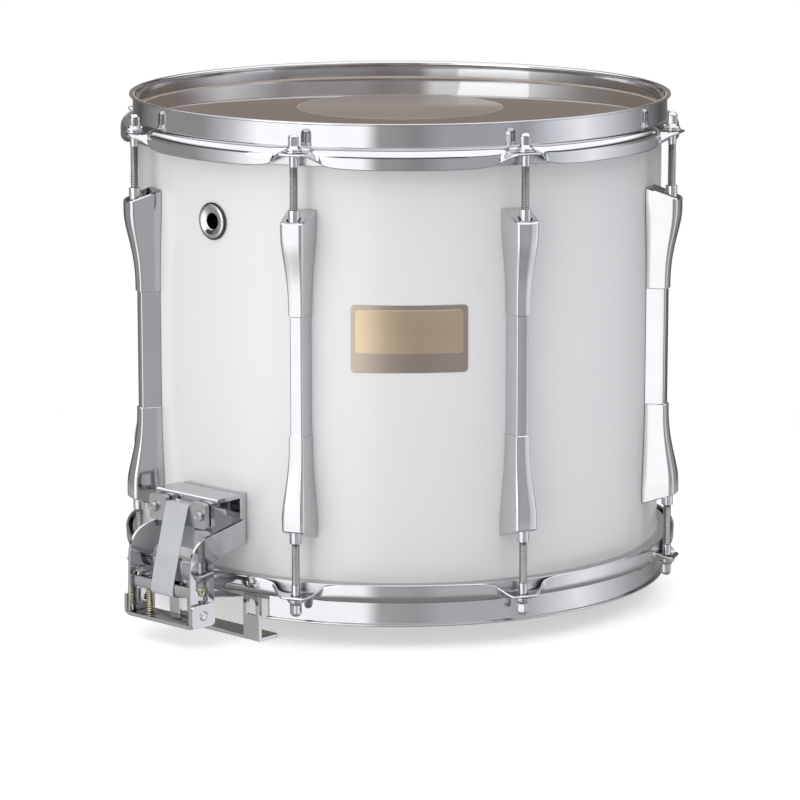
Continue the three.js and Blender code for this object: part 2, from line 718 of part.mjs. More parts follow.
// The cross bar is a U of sheet: a floor under both arms and a rounded tab up the outside of each.
function crossBarGeometry() {
  const inner = HALF_UNIT + GAP;
  const outer = inner + CROSS_TAB_SHEET;
  const back = CROSS_BAR_FRONT - CROSS_BAR_WIDTH;
  const round = CROSS_BAR_WIDTH / 5;
  const channel = slab(
    rounded([
      [-outer, CROSS_BAR_BOTTOM, CROSS_BAR_SHEET],
      [outer, CROSS_BAR_BOTTOM, CROSS_BAR_SHEET],
      [outer, CROSS_BAR_BOTTOM + CROSS_TAB_HEIGHT],
      [inner, CROSS_BAR_BOTTOM + CROSS_TAB_HEIGHT],
      [inner, CROSS_BAR_TOP],
      [-inner, CROSS_BAR_TOP],
      [-inner, CROSS_BAR_BOTTOM + CROSS_TAB_HEIGHT],
      [-outer, CROSS_BAR_BOTTOM + CROSS_TAB_HEIGHT],
    ]),
    "front",
    back,
    CROSS_BAR_FRONT,
    2,
  );
  const outline = rounded(
    [
      [back, CROSS_BAR_BOTTOM, 0],
      [CROSS_BAR_FRONT, CROSS_BAR_BOTTOM, 0],
      [CROSS_BAR_FRONT, CROSS_BAR_BOTTOM + CROSS_TAB_HEIGHT],
      [back, CROSS_BAR_BOTTOM + CROSS_TAB_HEIGHT],
    ],
    round,
  );
  const body = solidOf(channel).intersect(solidOf(slab(outline, "side", -outer, outer)));
  const rivetAt = [CROSS_BAR_FRONT - CROSS_BAR_WIDTH / 2, CROSS_BAR_BOTTOM + CROSS_TAB_HEIGHT / 2];
  const rivets = [-1, 1].map((side) => {
    const ends = [side * (outer - CROSS_TAB_SHEET / 2), side * (outer + RIVET_RISE)].sort((a, b) => a - b);
    return crossBarAxis(RIVET_RADIUS, ...ends, ...rivetAt, 8);
  });
  const holes = screwPlaces().map((across) =>
    bar(HEIGHT_SCREW_RADIUS + RUNNING_GAP, CROSS_BAR_BOTTOM - OVERRUN, CROSS_BAR_TOP + OVERRUN, 8)
      .translate(HEIGHT_SCREW_REACH, across, 0),
  );
  return cut(join(geometryOf(body), ...rivets), ...holes);
}

// Where the two height screws stand across the unit.
function screwPlaces() {
  return [-HEIGHT_SCREW_SPACING / 2, HEIGHT_SCREW_SPACING / 2];
}

// The bridge is a channel with a rolled front lip, a saddle behind the strap and a slider at each end.
function bridgeGeometry() {
  const back = BRIDGE_FRONT - BRIDGE_DEPTH;
  const top = BRIDGE_BOTTOM + BRIDGE_HEIGHT;
  const sliderOuter = ARM_INNER - RUNNING_GAP;
  const channel = slab(
    rounded([
      [back, BRIDGE_BOTTOM],
      [BRIDGE_FRONT, BRIDGE_BOTTOM, BRIDGE_ROUND],
      [BRIDGE_FRONT, top, BRIDGE_ROUND],
      [BRIDGE_FRONT - BRIDGE_SHEET, top],
      [BRIDGE_FRONT - BRIDGE_SHEET, BRIDGE_BOTTOM + BRIDGE_SHEET],
      [back, BRIDGE_BOTTOM + BRIDGE_SHEET],
    ]),
    "side",
    -sliderOuter,
    sliderOuter,
    2,
  );
  const saddleFront = strapReachAt(SADDLE_TOP) - STRAP;
  const saddle = slab(
    rounded([
      [-SADDLE_FOOT_WIDTH / 2, BRIDGE_BOTTOM],
      [SADDLE_FOOT_WIDTH / 2, BRIDGE_BOTTOM],
      [SADDLE_TOP_WIDTH / 2, SADDLE_TOP, BRIDGE_ROUND],
      [-SADDLE_TOP_WIDTH / 2, SADDLE_TOP, BRIDGE_ROUND],
    ]),
    "front",
    saddleFront - BRIDGE_SHEET,
    saddleFront,
    2,
  );
  const half = (ARM_LEG_WIDTH - CROSS_BAR_SHEET) / 2;
  const middle = ARM_FRONT - ARM_LEG_WIDTH / 2;
  const slider = (low, high) =>
    slab(
      rounded(
        [
          [middle - half / 2, CROSS_BAR_TOP + HEIGHT_SCREW_TAIL + 2 * GAP],
          [middle + half / 2, CROSS_BAR_TOP + HEIGHT_SCREW_TAIL + 2 * GAP],
          [middle + half / 2, SLIDER_TOP],
          [middle - half / 2, SLIDER_TOP],
        ],
        half / 3,
      ),
      "side",
      low,
      high,
      2,
    );
  const tabs = screwPlaces().flatMap((across) =>
    [-1, 1].map((side) => {
      const centre = across + side * (HEIGHT_SCREW_HEAD_RADIUS + SCREW_TAB_SHEET);
      const reach = back + BRIDGE_DEPTH * SCREW_TAB_LENGTH_SHARE;
      const height = BRIDGE_BOTTOM + BRIDGE_SHEET + SCREW_TAB_HEIGHT;
      return block(
        [back, centre - SCREW_TAB_SHEET / 2, BRIDGE_BOTTOM],
        [reach, centre + SCREW_TAB_SHEET / 2, height],
      );
    }),
  );
  const holes = screwPlaces().map((across) =>
    bar(HEIGHT_SCREW_RADIUS + RUNNING_GAP, BRIDGE_BOTTOM - OVERRUN, BRIDGE_BOTTOM + BRIDGE_SHEET + OVERRUN, 8)
      .translate(HEIGHT_SCREW_REACH, across, 0),
  );
  const eye = crossBarAxis(SLIDER_HOLE_RADIUS, -HALF_UNIT, HALF_UNIT, middle, BRIDGE_BOTTOM - 4 * SLIDER_HOLE_RADIUS, 8);
  const body = join(
    channel,
    saddle,
    slider(sliderOuter - SLIDER_SHEET, sliderOuter),
    slider(-sliderOuter, SLIDER_SHEET - sliderOuter),
    ...tabs,
  );
  return cut(body, ...holes, eye);
}

// A height screw: a hexagon head on the bridge and a shank down through the cross bar.
function heightScrewGeometry() {
  const seat = BRIDGE_BOTTOM + BRIDGE_SHEET + GAP;
  const shank = bar(HEIGHT_SCREW_RADIUS, CROSS_BAR_BOTTOM - HEIGHT_SCREW_TAIL, seat + HEIGHT_SCREW_HEAD / 2, 8);
  const head = bar(HEIGHT_SCREW_HEAD_RADIUS, seat, seat + HEIGHT_SCREW_HEAD, 6);
  const slotCut = block(
    [-HEIGHT_SCREW_HEAD_RADIUS, -SCREW_TAB_SHEET / 3, seat + HEIGHT_SCREW_HEAD - SCREW_TAB_SHEET],
    [HEIGHT_SCREW_HEAD_RADIUS, SCREW_TAB_SHEET / 3, seat + HEIGHT_SCREW_HEAD + OVERRUN],
  );
  return cut(join(shank, head), slotCut);
}

// A helical spring as one tube, standing on the cross bar under the bridge.
function springGeometry() {
  const wire = SPRING_WIRE / 2;
  const low = CROSS_BAR_TOP + GAP + wire;
  const high = BRIDGE_BOTTOM - GAP - wire;
  const count = SPRING_TURNS * SPRING_STEPS;
  const rise = (high - low) / count;
  const slope = Math.atan2(rise * SPRING_STEPS, 2 * Math.PI * SPRING_RADIUS);
  const rings = [];
  for (let i = 0; i <= count; i += 1) {
    const turn = (i / SPRING_STEPS) * 2 * Math.PI;
    const out = new THREE.Vector3(Math.cos(turn), Math.sin(turn), 0);
    const along = new THREE.Vector3(-Math.sin(turn), Math.cos(turn), 0);
    const lift = new THREE.Vector3(0, 0, Math.cos(slope)).addScaledVector(along, -Math.sin(slope));
    const centre = out.clone().multiplyScalar(SPRING_RADIUS).setZ(low + i * rise);
    const ring = [];
    for (let k = 0; k < SPRING_SIDES; k += 1) {
      const roll = (k / SPRING_SIDES) * 2 * Math.PI;
      const point = centre.clone().addScaledVector(out, Math.cos(roll) * wire);
      ring.push(point.addScaledVector(lift, Math.sin(roll) * wire));
    }
    rings.push(ring);
  }
  return loft(rings.map((ring) => ring.toReversed()));
}

// The least gap between neighbouring turns of a spring, measured between points one turn apart.
function springGap() {
  const free = BRIDGE_BOTTOM - CROSS_BAR_TOP - 2 * GAP - SPRING_WIRE;
  return free / SPRING_TURNS - SPRING_WIRE;
}

// A clamp plate's outline: a raised round ear on each side of the notch that the strap folds over.
function clampShape() {
  const half = CLAMP_WIDTH / 2;
  const notch = NOTCH_WIDTH / 2;
  const notchRound = NOTCH_DEPTH / 2;
  return rounded([
    [-half, CLAMP_BOTTOM, CLAMP_ROUND / 2],
    [half, CLAMP_BOTTOM, CLAMP_ROUND / 2],
    [half, CLAMP_TOP, CLAMP_ROUND],
    [STRAP_SHIFT + notch, CLAMP_TOP, notchRound],
    [STRAP_SHIFT + notch, NOTCH_BOTTOM, notchRound],
    [STRAP_SHIFT - notch, NOTCH_BOTTOM, notchRound],
    [STRAP_SHIFT - notch, CLAMP_TOP, notchRound],
    [-half, CLAMP_TOP, CLAMP_ROUND],
  ]);
}

// Holes for the clamp screws, from one reach to another.
function clampHoles(from, to) {
  return [-1, 1].map((side) => {
    const across = (side * CLAMP_SCREW_SPACING) / 2;
    const height = CLAMP_BOTTOM + CLAMP_HEIGHT / 2;
    return outwardBar(CLAMP_SCREW_RADIUS + RUNNING_GAP, from, to, across, height, 8);
  });
}

function clampFrontGeometry() {
  const plate = slab(clampShape(), "front", CLAMP_FRONT_BACK, CLAMP_FRONT_BACK + CLAMP_FRONT, 2);
  return cut(plate, ...clampHoles(CLAMP_FRONT_BACK - OVERRUN, CLAMP_FRONT_BACK + CLAMP_FRONT + OVERRUN));
}

function clampBackPlate() {
  return slab(clampShape(), "front", HANGER_FRONT, HANGER_FRONT + CLAMP_BACK, 2);
}

// A clamp screw: a round head with a hexagon socket and a shank into the back plate.
function clampScrewGeometry() {
  const seat = CLAMP_FRONT_BACK + CLAMP_FRONT + GAP;
  const shank = outwardBar(CLAMP_SCREW_RADIUS, HANGER_FRONT, seat + CLAMP_SCREW_HEAD / 3, 0, 0, 8);
  const head = outwardBar(CLAMP_SCREW_HEAD_RADIUS, seat, seat + CLAMP_SCREW_HEAD, 0, 0, 12);
  const socket = outwardBar(
    CLAMP_SCREW_RADIUS * CLAMP_SOCKET_SHARE,
    seat + CLAMP_SCREW_HEAD / 2,
    seat + CLAMP_SCREW_HEAD + OVERRUN,
    0,
    0,
    6,
  );
  return cut(join(shank, head), socket);
}

// The hanger is a J of sheet on the base, with the clamp's back plate on its front lip.
function hangerGeometry() {
  const back = BASE_RADIUS + GAP;
  const top = BASE_BOTTOM + BASE_HEIGHT;
  const half = HALF_UNIT - ARM_SHEET / 2;
  const bend = HANGER_SHEET;
  const channel = slab(
    rounded([
      [back, top - HANGER_FLANGE_HEIGHT],
      [back + HANGER_SHEET, top - HANGER_FLANGE_HEIGHT],
      [back + HANGER_SHEET, top - HANGER_SHEET],
      [HANGER_FRONT - HANGER_SHEET, top - HANGER_SHEET],
      [HANGER_FRONT - HANGER_SHEET, top - HANGER_LIP_HEIGHT],
      [HANGER_FRONT, top - HANGER_LIP_HEIGHT],
      [HANGER_FRONT, top, bend],
      [back, top, bend],
    ]),
    "side",
    -half,
    half,
    3,
  );
  const holes = clampHoles(HANGER_FRONT - HANGER_SHEET - OVERRUN, HANGER_FRONT + CLAMP_BACK + OVERRUN);
  return cut(join(channel, clampBackPlate()), ...holes);
}

// How far out the strap's middle lies at a height between the clamp and the bridge.
function strapReachAt(height) {
  const upper = CLAMP_FRONT_BACK + CLAMP_FRONT + STRAP / 2 + GAP;
  const lower = BRIDGE_FRONT + STRAP / 2 + GAP;
  const share = (NOTCH_BOTTOM - height) / (NOTCH_BOTTOM - STRAP_NOSE);
  return THREE.MathUtils.lerp(upper, lower, share);
}

// The strap's route from its tail, over the clamp's notch, down to the bridge, round it and in to the wires.
function strapRoute() {
  const half = STRAP / 2;
  const slack = half + GAP;
  const inside = HANGER_FRONT + CLAMP_BACK + slack;
  const overTop = NOTCH_BOTTOM + slack;
  const front = CLAMP_FRONT_BACK + CLAMP_FRONT + slack;
  const nose = BRIDGE_FRONT + slack;
  const under = BRIDGE_BOTTOM - slack;
  const level = END_PLATE_BOTTOM - slack;
  return [
    [inside, CLAMP_BOTTOM - STRAP_TAIL],
    [inside, NOTCH_BOTTOM],
    [CLAMP_FRONT_BACK, overTop],
    [CLAMP_FRONT_BACK + CLAMP_FRONT, overTop],
    [front, NOTCH_BOTTOM],
    [nose, STRAP_NOSE],
    [nose, BRIDGE_BOTTOM + BRIDGE_ROUND / 4],
    [BRIDGE_FRONT - BRIDGE_ROUND / 4, under],
    [BRIDGE_FRONT - BRIDGE_DEPTH, under - BRIDGE_ROUND],
    [WIRE_REACH + STRAP_OVERLAP, level],
    [WIRE_REACH - STRAP_OVERLAP, level],
  ];
}

// The strap as a thin band along its route.
function strapGeometry() {
  const route = strapRoute().map(([x, z]) => new THREE.Vector2(x, z));
  const side = (sign) =>
    route.map((point, i) => {
      const before = i > 0 ? point.clone().sub(route[i - 1]).normalize() : null;
      const after = i < route.length - 1 ? route[i + 1].clone().sub(point).normalize() : null;
      const way = (before ?? after).clone().add(after ?? before).normalize();
      const turn = (before ?? after).dot(way);
      return new THREE.Vector2(-way.y, way.x).multiplyScalar((sign * STRAP) / 2 / turn).add(point);
    });
  const outline = [...side(1), ...side(-1).reverse()];
  const low = STRAP_SHIFT - STRAP_WIDTH / 2;
  return slab(new THREE.Shape(outline), "side", low, low + STRAP_WIDTH);
}

// The guard: a strip under the gate and two posts up to the rim's flange, the wide one with an arched window.
function guardGeometry() {
  const top = GUARD_DROP + SHOULDER_DEPTH - GAP;
  const half = GUARD_LENGTH / 2;
  const back = GUARD_OUTER - GUARD_SHEET;
  const strip = slab(
    rounded(
      [
        [GUARD_OUTER - GUARD_WIDTH, -half],
        [GUARD_OUTER, -half, 0],
        [GUARD_OUTER, half, 0],
        [GUARD_OUTER - GUARD_WIDTH, half],
      ],
      GUARD_SHEET,
    ),
    "plan",
    0,
    GUARD_SHEET,
    2,
  );
  const wide = block([back, half - GUARD_POST_WIDTH, 0], [GUARD_OUTER, half, top]);
  const slimStart = GUARD_POST_INSET - half;
  const slim = block([back, slimStart, 0], [GUARD_OUTER, slimStart + GUARD_SLIM_POST_WIDTH, top]);
  const middle = half - GUARD_POST_WIDTH / 2;
  const arch = GUARD_WINDOW_WIDTH / 2;
  const opening = new THREE.Shape();
  opening.moveTo(middle - arch, GUARD_WINDOW_BOTTOM);
  opening.lineTo(middle + arch, GUARD_WINDOW_BOTTOM);
  opening.absarc(middle, top - arch - GUARD_SHEET, arch, 0, Math.PI, false);
  const window = slab(opening, "front", back - OVERRUN, GUARD_OUTER + OVERRUN, 6);
  return cut(join(strip, wide, slim), window);
}

// The throw-off's housing: a block on the base with a guide slot, and two cheeks that carry the lever's pin.
function housingGeometry() {
  const back = BASE_RADIUS + GAP;
  const half = HOUSING_WIDTH / 2;
  const body = slab(
    rounded([
      [back, HOUSING_BOTTOM],
      [HOUSING_FRONT, HOUSING_BOTTOM, CHEEK_ROUND],
      [HOUSING_FRONT, HOUSING_TOP],
      [back, HOUSING_TOP],
    ]),
    "side",
    -half,
    half,
  );
  const cheekShape = rounded([
    [back, HOUSING_TOP - OVERRUN],
    [HOUSING_FRONT, HOUSING_TOP - OVERRUN],
    [HOUSING_FRONT, HOUSING_TOP + CHEEK_HEIGHT, CHEEK_ROUND],
    [back, HOUSING_TOP + CHEEK_HEIGHT, CHEEK_ROUND],
  ]);
  const cheeks = [slab(cheekShape, "side", half - CHEEK_SHEET, half), slab(cheekShape, "side", -half, CHEEK_SHEET - half)];
  const guide = block(
    [HOUSING_FRONT - GUIDE_DEPTH, -GUIDE_WIDTH / 2 - GAP, HOUSING_BOTTOM - OVERRUN],
    [HOUSING_FRONT + OVERRUN, GUIDE_WIDTH / 2 + GAP, HOUSING_TOP - CHEEK_ROUND],
  );
  const pin = crossBarAxis(
    LEVER_PIN_RADIUS,
    -half - RIVET_RISE,
    half + RIVET_RISE,
    LEVER_PIN_REACH,
    LEVER_PIN_HEIGHT,
    10,
  );
  return join(cut(join(body, ...cheeks), guide), pin);
}

// The carriage slides in the housing's guide and holds the strap clamp's back plate.
function carriageGeometry() {
  const half = CARRIAGE_WIDTH / 2;
  const back = HOUSING_FRONT + RUNNING_GAP;
  const body = block([back, -half, CARRIAGE_BOTTOM], [HANGER_FRONT, half, CARRIAGE_TOP]);
  const tongue = block(
    [HOUSING_FRONT - GUIDE_DEPTH + RUNNING_GAP, -GUIDE_WIDTH / 2, CARRIAGE_BOTTOM],
    [back + OVERRUN, GUIDE_WIDTH / 2, CARRIAGE_TOP],
  );
  const from = HANGER_FRONT - OVERRUN;
  const to = HANGER_FRONT + CLAMP_BACK + OVERRUN;
  const stem = bar(KNOB_STEM_RADIUS + RUNNING_GAP, CARRIAGE_BOTTOM - OVERRUN, CARRIAGE_BOTTOM + KNOB_HEIGHT, 8)
    .translate(knobReach(), 0, 0);
  return cut(join(body, tongue, clampBackPlate()), ...clampHoles(from, to), stem);
}

function knobReach() {
  return (HOUSING_FRONT + HANGER_FRONT + CLAMP_BACK) / 2;
}

// The lever: a hub on the pin and a blade that stands up along the shell, with its tip turned out.
function leverGeometry() {
  const hub = crossBarAxis(
    LEVER_HUB_RADIUS,
    -LEVER_HUB_WIDTH / 2,
    LEVER_HUB_WIDTH / 2,
    LEVER_PIN_REACH,
    LEVER_PIN_HEIGHT,
    16,
  );
  const inner = LEVER_PIN_REACH - LEVER_SHEET / 2;
  const outer = inner + LEVER_SHEET;
  const tip = LEVER_PIN_HEIGHT + LEVER_LENGTH;
  const bend = tip - 2 * LEVER_TIP_LIFT;
  const blade = slab(
    rounded([
      [inner, LEVER_PIN_HEIGHT],
      [outer, LEVER_PIN_HEIGHT],
      [outer, bend, LEVER_TIP_LIFT],
      [outer + LEVER_TIP_LIFT, tip],
      [inner + LEVER_TIP_LIFT, tip + LEVER_SHEET / 3],
      [inner, bend + LEVER_SHEET, LEVER_TIP_LIFT],
    ]),
    "side",
    -LEVER_BLADE_WIDTH / 2,
    LEVER_BLADE_WIDTH / 2,
  );
  const bore = crossBarAxis(
    LEVER_PIN_RADIUS + RUNNING_GAP,
    -LEVER_HUB_WIDTH,
    LEVER_HUB_WIDTH,
    LEVER_PIN_REACH,
    LEVER_PIN_HEIGHT,
    10,
  );
  return cut(join(hub, blade), bore);
}

// The tension knob under the carriage, ribbed round its grip.
function knobGeometry() {
  const shape = new THREE.Shape();
  const count = KNOB_RIBS * 2;
  for (let i = 0; i < count; i += 1) {
    const radius = i % 2 ? KNOB_RADIUS : KNOB_RADIUS - KNOB_RIB_DEPTH;
    const turn = (i / count) * 2 * Math.PI;
    if (i === 0) shape.moveTo(radius * Math.cos(turn), radius * Math.sin(turn));
    else shape.lineTo(radius * Math.cos(turn), radius * Math.sin(turn));
  }
  const grip = slab(shape, "plan", KNOB_BOTTOM, KNOB_BOTTOM + KNOB_HEIGHT);
  const stem = bar(KNOB_STEM_RADIUS, KNOB_BOTTOM + KNOB_HEIGHT / 2, CARRIAGE_BOTTOM + KNOB_HEIGHT - OVERRUN, 8);
  return join(grip, stem);
}

// What both snare units have: frame, cross bar, bridge with its screws and springs, guard and strap.
function addUnit(prefix, parent) {
  named(prefix + "_frame", frameGeometry(), MATERIALS.chrome, parent);
  named(prefix + "_cross_bar", crossBarGeometry(), MATERIALS.chrome, parent);
  named(prefix + "_bridge", bridgeGeometry(), MATERIALS.chrome, parent);
  named(prefix + "_guard", guardGeometry(), MATERIALS.chrome, parent);
  named(prefix + "_strap", strapGeometry(), MATERIALS.strap, parent);
  named(prefix + "_clamp_front", clampFrontGeometry(), MATERIALS.satin, parent);
  ["left", "right"].forEach((side, i) => {
    const sign = i === 0 ? -1 : 1;
    const screw = named(prefix + "_height_screw_" + side, heightScrewGeometry(), MATERIALS.zinc, parent);
    screw.position.set(HEIGHT_SCREW_REACH, (sign * HEIGHT_SCREW_SPACING) / 2, 0);
    const spring = named(prefix + "_spring_" + side, springGeometry(), MATERIALS.zinc, parent);
    spring.position.set(HEIGHT_SCREW_REACH, (sign * HEIGHT_SCREW_SPACING) / 2, 0);
    const clampScrew = named(prefix + "_clamp_screw_" + side, clampScrewGeometry(), MATERIALS.chrome, parent);
    clampScrew.position.set(0, (sign * CLAMP_SCREW_SPACING) / 2, CLAMP_BOTTOM + CLAMP_HEIGHT / 2);
  });
}

const drum = new THREE.Group();
named("shell", shellGeometry(), MATERIALS.shell, drum);
named("vent_grommet", ventGeometry(), MATERIALS.chrome, drum);
named("batter_head", headGeometry(SHELL_TOP, 1), MATERIALS.batter, drum);
named("snare_head", headGeometry(SHELL_BOTTOM, -1), MATERIALS.snareFilm, drum);
named("batter_rim", rimGeometry(DRUM_TOP, 1, false), MATERIALS.chrome, drum);
named("snare_rim", rimGeometry(GUARD_DROP, -1, true), MATERIALS.chrome, drum);
named("snare_wires", snareWiresGeometry(), MATERIALS.wire, drum);

for (let i = 0; i < LUG_COUNT; i += 1) {
  const station = new THREE.Group();
  station.rotation.z = radians((i + 1 / 2) * LUG_STEP);
  drum.add(station);
  named("lug_" + (i + 1), lugGeometry(), MATERIALS.chrome, station);
  const upper = named("batter_rod_" + (i + 1), rodGeometry(), MATERIALS.chrome, station);
  upper.position.set(ROD_CIRCLE, 0, 0);
  const lower = named("snare_rod_" + (i + 1), rodGeometry(), MATERIALS.chrome, station);
  lower.position.set(ROD_CIRCLE, 0, 2 * MIDDLE);
  lower.rotation.x = Math.PI;
}

const butt = new THREE.Group();
butt.rotation.z = Math.PI;
drum.add(butt);
addUnit("butt", butt);
named("butt_hanger", hangerGeometry(), MATERIALS.chrome, butt);

const throwOff = new THREE.Group();
drum.add(throwOff);
addUnit("throw", throwOff);
named("throw_housing", housingGeometry(), MATERIALS.chrome, throwOff);
named("throw_carriage", carriageGeometry(), MATERIALS.chrome, throwOff);
named("throw_lever", leverGeometry(), MATERIALS.chrome, throwOff);
const knob = named("throw_tension_knob", knobGeometry(), MATERIALS.satin, throwOff);
knob.position.set(knobReach(), 0, 0);

console.log("least gap between spring turns: " + springGap().toFixed(2) + " mm");

export default drum;
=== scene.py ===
"""Looks for the marching snare drum, built round its solids. Sizes are millimetres until a mesh is made."""

import math

import bmesh
import bpy
from mathutils import Matrix, Vector

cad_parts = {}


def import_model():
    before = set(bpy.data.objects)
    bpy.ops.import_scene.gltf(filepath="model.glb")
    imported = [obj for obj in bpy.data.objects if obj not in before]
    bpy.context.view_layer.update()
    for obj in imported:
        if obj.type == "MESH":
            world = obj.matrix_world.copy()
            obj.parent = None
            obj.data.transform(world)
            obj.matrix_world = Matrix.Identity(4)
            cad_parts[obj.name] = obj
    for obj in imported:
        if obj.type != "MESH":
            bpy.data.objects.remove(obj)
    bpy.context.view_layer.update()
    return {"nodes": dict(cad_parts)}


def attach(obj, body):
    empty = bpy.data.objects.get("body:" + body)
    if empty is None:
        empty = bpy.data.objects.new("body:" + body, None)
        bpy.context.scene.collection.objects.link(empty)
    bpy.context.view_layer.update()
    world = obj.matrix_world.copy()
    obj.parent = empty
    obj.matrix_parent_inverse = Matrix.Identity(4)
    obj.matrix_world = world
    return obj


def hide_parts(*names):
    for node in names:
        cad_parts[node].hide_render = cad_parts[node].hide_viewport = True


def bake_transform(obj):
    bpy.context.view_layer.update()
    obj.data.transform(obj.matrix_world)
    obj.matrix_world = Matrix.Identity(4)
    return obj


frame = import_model()

MM = 0.001
TAU = 2 * math.pi
AXIS = 0.01  # stands for a point on the axis in a turned outline

# Drum
SHELL_RADIUS = 178
SHELL_WALL = 6
SHELL_BOTTOM = 26.9
SHELL_TOP = 331.7
MIDDLE = (SHELL_TOP + SHELL_BOTTOM) / 2
DRUM_TOP = 343.6
RIM_PLANE = 15
FILM = 0.5
GAP = 0.3
PLAYING_DEPTH = 11.1
HOOP_RADIUS = 185.6
HOOP_HEIGHT = 9
DOT_RADIUS = 69.5
DOT_RISE = 0.12
DOT_EDGE = 0.55
# A ring of painted highlight along the batter film's bend at the bearing edge
FOLD_INNER = 177.8
FOLD_OUTER = 179.5
FOLD_RISE = 0.3
VENT_DROP = 58.2
VENT_HOLE = 6.6
PLATE_LOW = 182
PLATE_HIGH = 226.2
PLATE_WIDTH = 75.8
LUGS = 8
LUG_STEP = 45

# Rims, measured down from the playing edge
RIM_SHEET = 1.8
FLAP_SHEET = 1.7
RIM_RADIUS = 181.6
RIM_LIP_WIDTH = 2.3
RIM_LIP = 1.4
SHOULDER_DEPTH = 15.7
EAR_DEPTH = 18.7
EAR_REACH = 199.8
RIM_HEIGHT = 29.4
SKIRT_RADIUS = 190
FLAP_ROOT = 187
GATE_WIDTH = 92
DOME_DEPTH = 23.4
EAR_HALF_ANGLE = 1.9
EAR_FOOT_ANGLE = 5.6
SKIRT_HALF_ANGLE = 4.2
SKIRT_TURN = 3.3
EAR_HOLE = 3.7
# The sections of a rim, in degrees from a lug
EAR_ANGLES = [0.7] + [1.4 + 0.3 * i for i in range(26)]
SKIRT_ANGLES = [9.5, 10.2, 11.2, 12.4, 13.8, 15.4, 17, 18.6, 20.2, 21.4]

# Lugs and rods
ROD_CIRCLE = 193
CASING_LENGTH = 61.6
TUBE_LENGTH = 78.4
TUBE_WIDTH = 8.2
TUBE_BACK_WIDTH = 11.6
TUBE_DEPTH = 12.8
CASING_WIDTH = 15.6
CASING_BACK_WIDTH = 19.4
CASING_DEPTH = 21
CASING_SLANT = 7
NECK_WIDTH = 9.8
NECK_BACK_WIDTH = 12.6
NECK_DEPTH = 13.8
CROWN = 0.5
CASING_END = TUBE_LENGTH / 2 + CASING_LENGTH
NUT_RADIUS = 3.95
NUT_RISE = 8.2
NUT_RECESS = 4.7
ROD_RADIUS = 2.8
THREAD_ROOT = 2.3
THREAD_PITCH = 1.06
ROD_NECK = 9
ROD_HEAD_WIDTH = 6.5
ROD_HEAD_HEIGHT = 9
ROD_HEAD_CORNER = 1.9
ROD_HEAD_SHAPE = [(0.55, 1), (0.72, 0.985), (0.84, 0.9), (0.93, 0.74), (0.985, 0.5), (1, 0.2)]
ROD_SPINS = [17, 52, 81, 8, 33, 64, 12, 47, 70, 24, 58, 3, 24, 39, 75, 20]
WASHER_RADIUS = 6.1
WASHER = 0.9

# Snare unit, on the +X side. Reach is measured from the drum's axis
BRIDGE_FRONT = 228
BRIDGE_BOTTOM = 33
BRIDGE_DEPTH = 15
CROSS_BAR_TOP = 16.5
CROSS_BAR_BOTTOM = 14
CROSS_BAR_BACK = 211
CROSS_BAR_FRONT = 231.6
CROSS_TAB_TOP = 30
CROSS_BEND = 4.2
HALF_UNIT = 29.75
ARM_SHEET = 2
LEG_BACK = 209.4
LEG_FRONT = 230.8
BASE_FRONT = 181.2
BASE_LOW = 62.3
BASE_HIGH = 96.5
BASE_HALF = 27
ARM_SHOULDER = 70.5
ARM_TOP = 79.6
ARM_UNDER = 63.6
ARM_KNEE = 57.3
WINDOW = [(215.1, 30.5, 0.6), (223.7, 30.5, 0.6), (223.7, 44.6, 4.2), (215.1, 44.6, 4.2)]
RIVET_HEIGHT = 22.4
EYELET_REACH = 219.4
EYELET_OUT = 27.2
EYELET_HEIGHT = 37.2
SCREW_REACH = 220
SCREW_SPACING = 39
SPRING_RADIUS = 2.65
SPRING_WIRE = 0.8
SPRING_TURNS = 10
HANGER_FRONT = 205
CLAMP_BACK = 3
CLAMP_FRONT = 2.6
CLAMP_SPACE = 2.9
CLAMP_BOTTOM = 77.4
CLAMP_TOP = 94.5
CLAMP_HALF = 26.25
CLAMP_SCREW_SPACING = 43
NOTCH_HALF = 11.75
NOTCH_BOTTOM = 90
STRAP = 0.9
STRAP_WIDTH = 20.5
STRAP_SHIFT = 1
STRAP_NOSE = 38.5
STRAP_CUT_HEIGHT = 63
STRAP_CUT_REACH = 196
END_PLATE_BOTTOM = 22.65
WIRE_REACH = 154
STRAND_COUNT = 14
STRAND_PITCH = 3.1
STRAND_HEIGHT = 24.9
COIL_RADIUS = 0.68
COIL_WIRE = 0.44
COIL_PITCH = 2

# Camera, in the row frame
CAMERA_AZIMUTH = 223.03
CAMERA_DISTANCE = 2600
CAMERA_HEIGHT = 649.7
CAMERA_PITCH = -11.33
FOCAL_PIXELS = 3837
FRAME_PIXELS = 800
SENSOR = 36

# Floor. The lift is its own light where it is seen, and the glimpse is how clear it is to a mirrored ray
FLOOR_RADIUS = 620
FLOOR_FADE = 230
FLOOR_TOP = -0.2
FLOOR_BOTTOM = -3
FLOOR_LIFT = 0.5
FLOOR_GLIMPSE = 0.9

# Studio: colours round the horizon by degrees from the front, left first
STUDIO_AZIMUTH = 223
STUDIO_STOPS = [
    (-180, (1, 1, 1)), (-168, (0.2, 0.19, 0.18)), (-148, (0.13, 0.12, 0.12)), (-128, (0.4, 0.39, 0.38)),
    (-92, (0.42, 0.41, 0.41)), (-76, (0.85, 0.85, 0.87)), (-62, (1.6, 1.6, 1.6)), (-15, (1.6, 1.6, 1.6)),
    (-9, (0.5, 0.49, 0.5)), (8, (0.38, 0.37, 0.38)), (18, (0.55, 0.54, 0.57)), (46, (0.56, 0.56, 0.59)),
    (54, (0.48, 0.48, 0.5)), (66, (0.85, 0.86, 0.92)), (84, (1.35, 1.33, 1.36)), (98, (0.95, 0.96, 1.02)),
    (122, (0.42, 0.41, 0.42)), (148, (0.12, 0.11, 0.11)), (168, (0.2, 0.19, 0.18)),
]

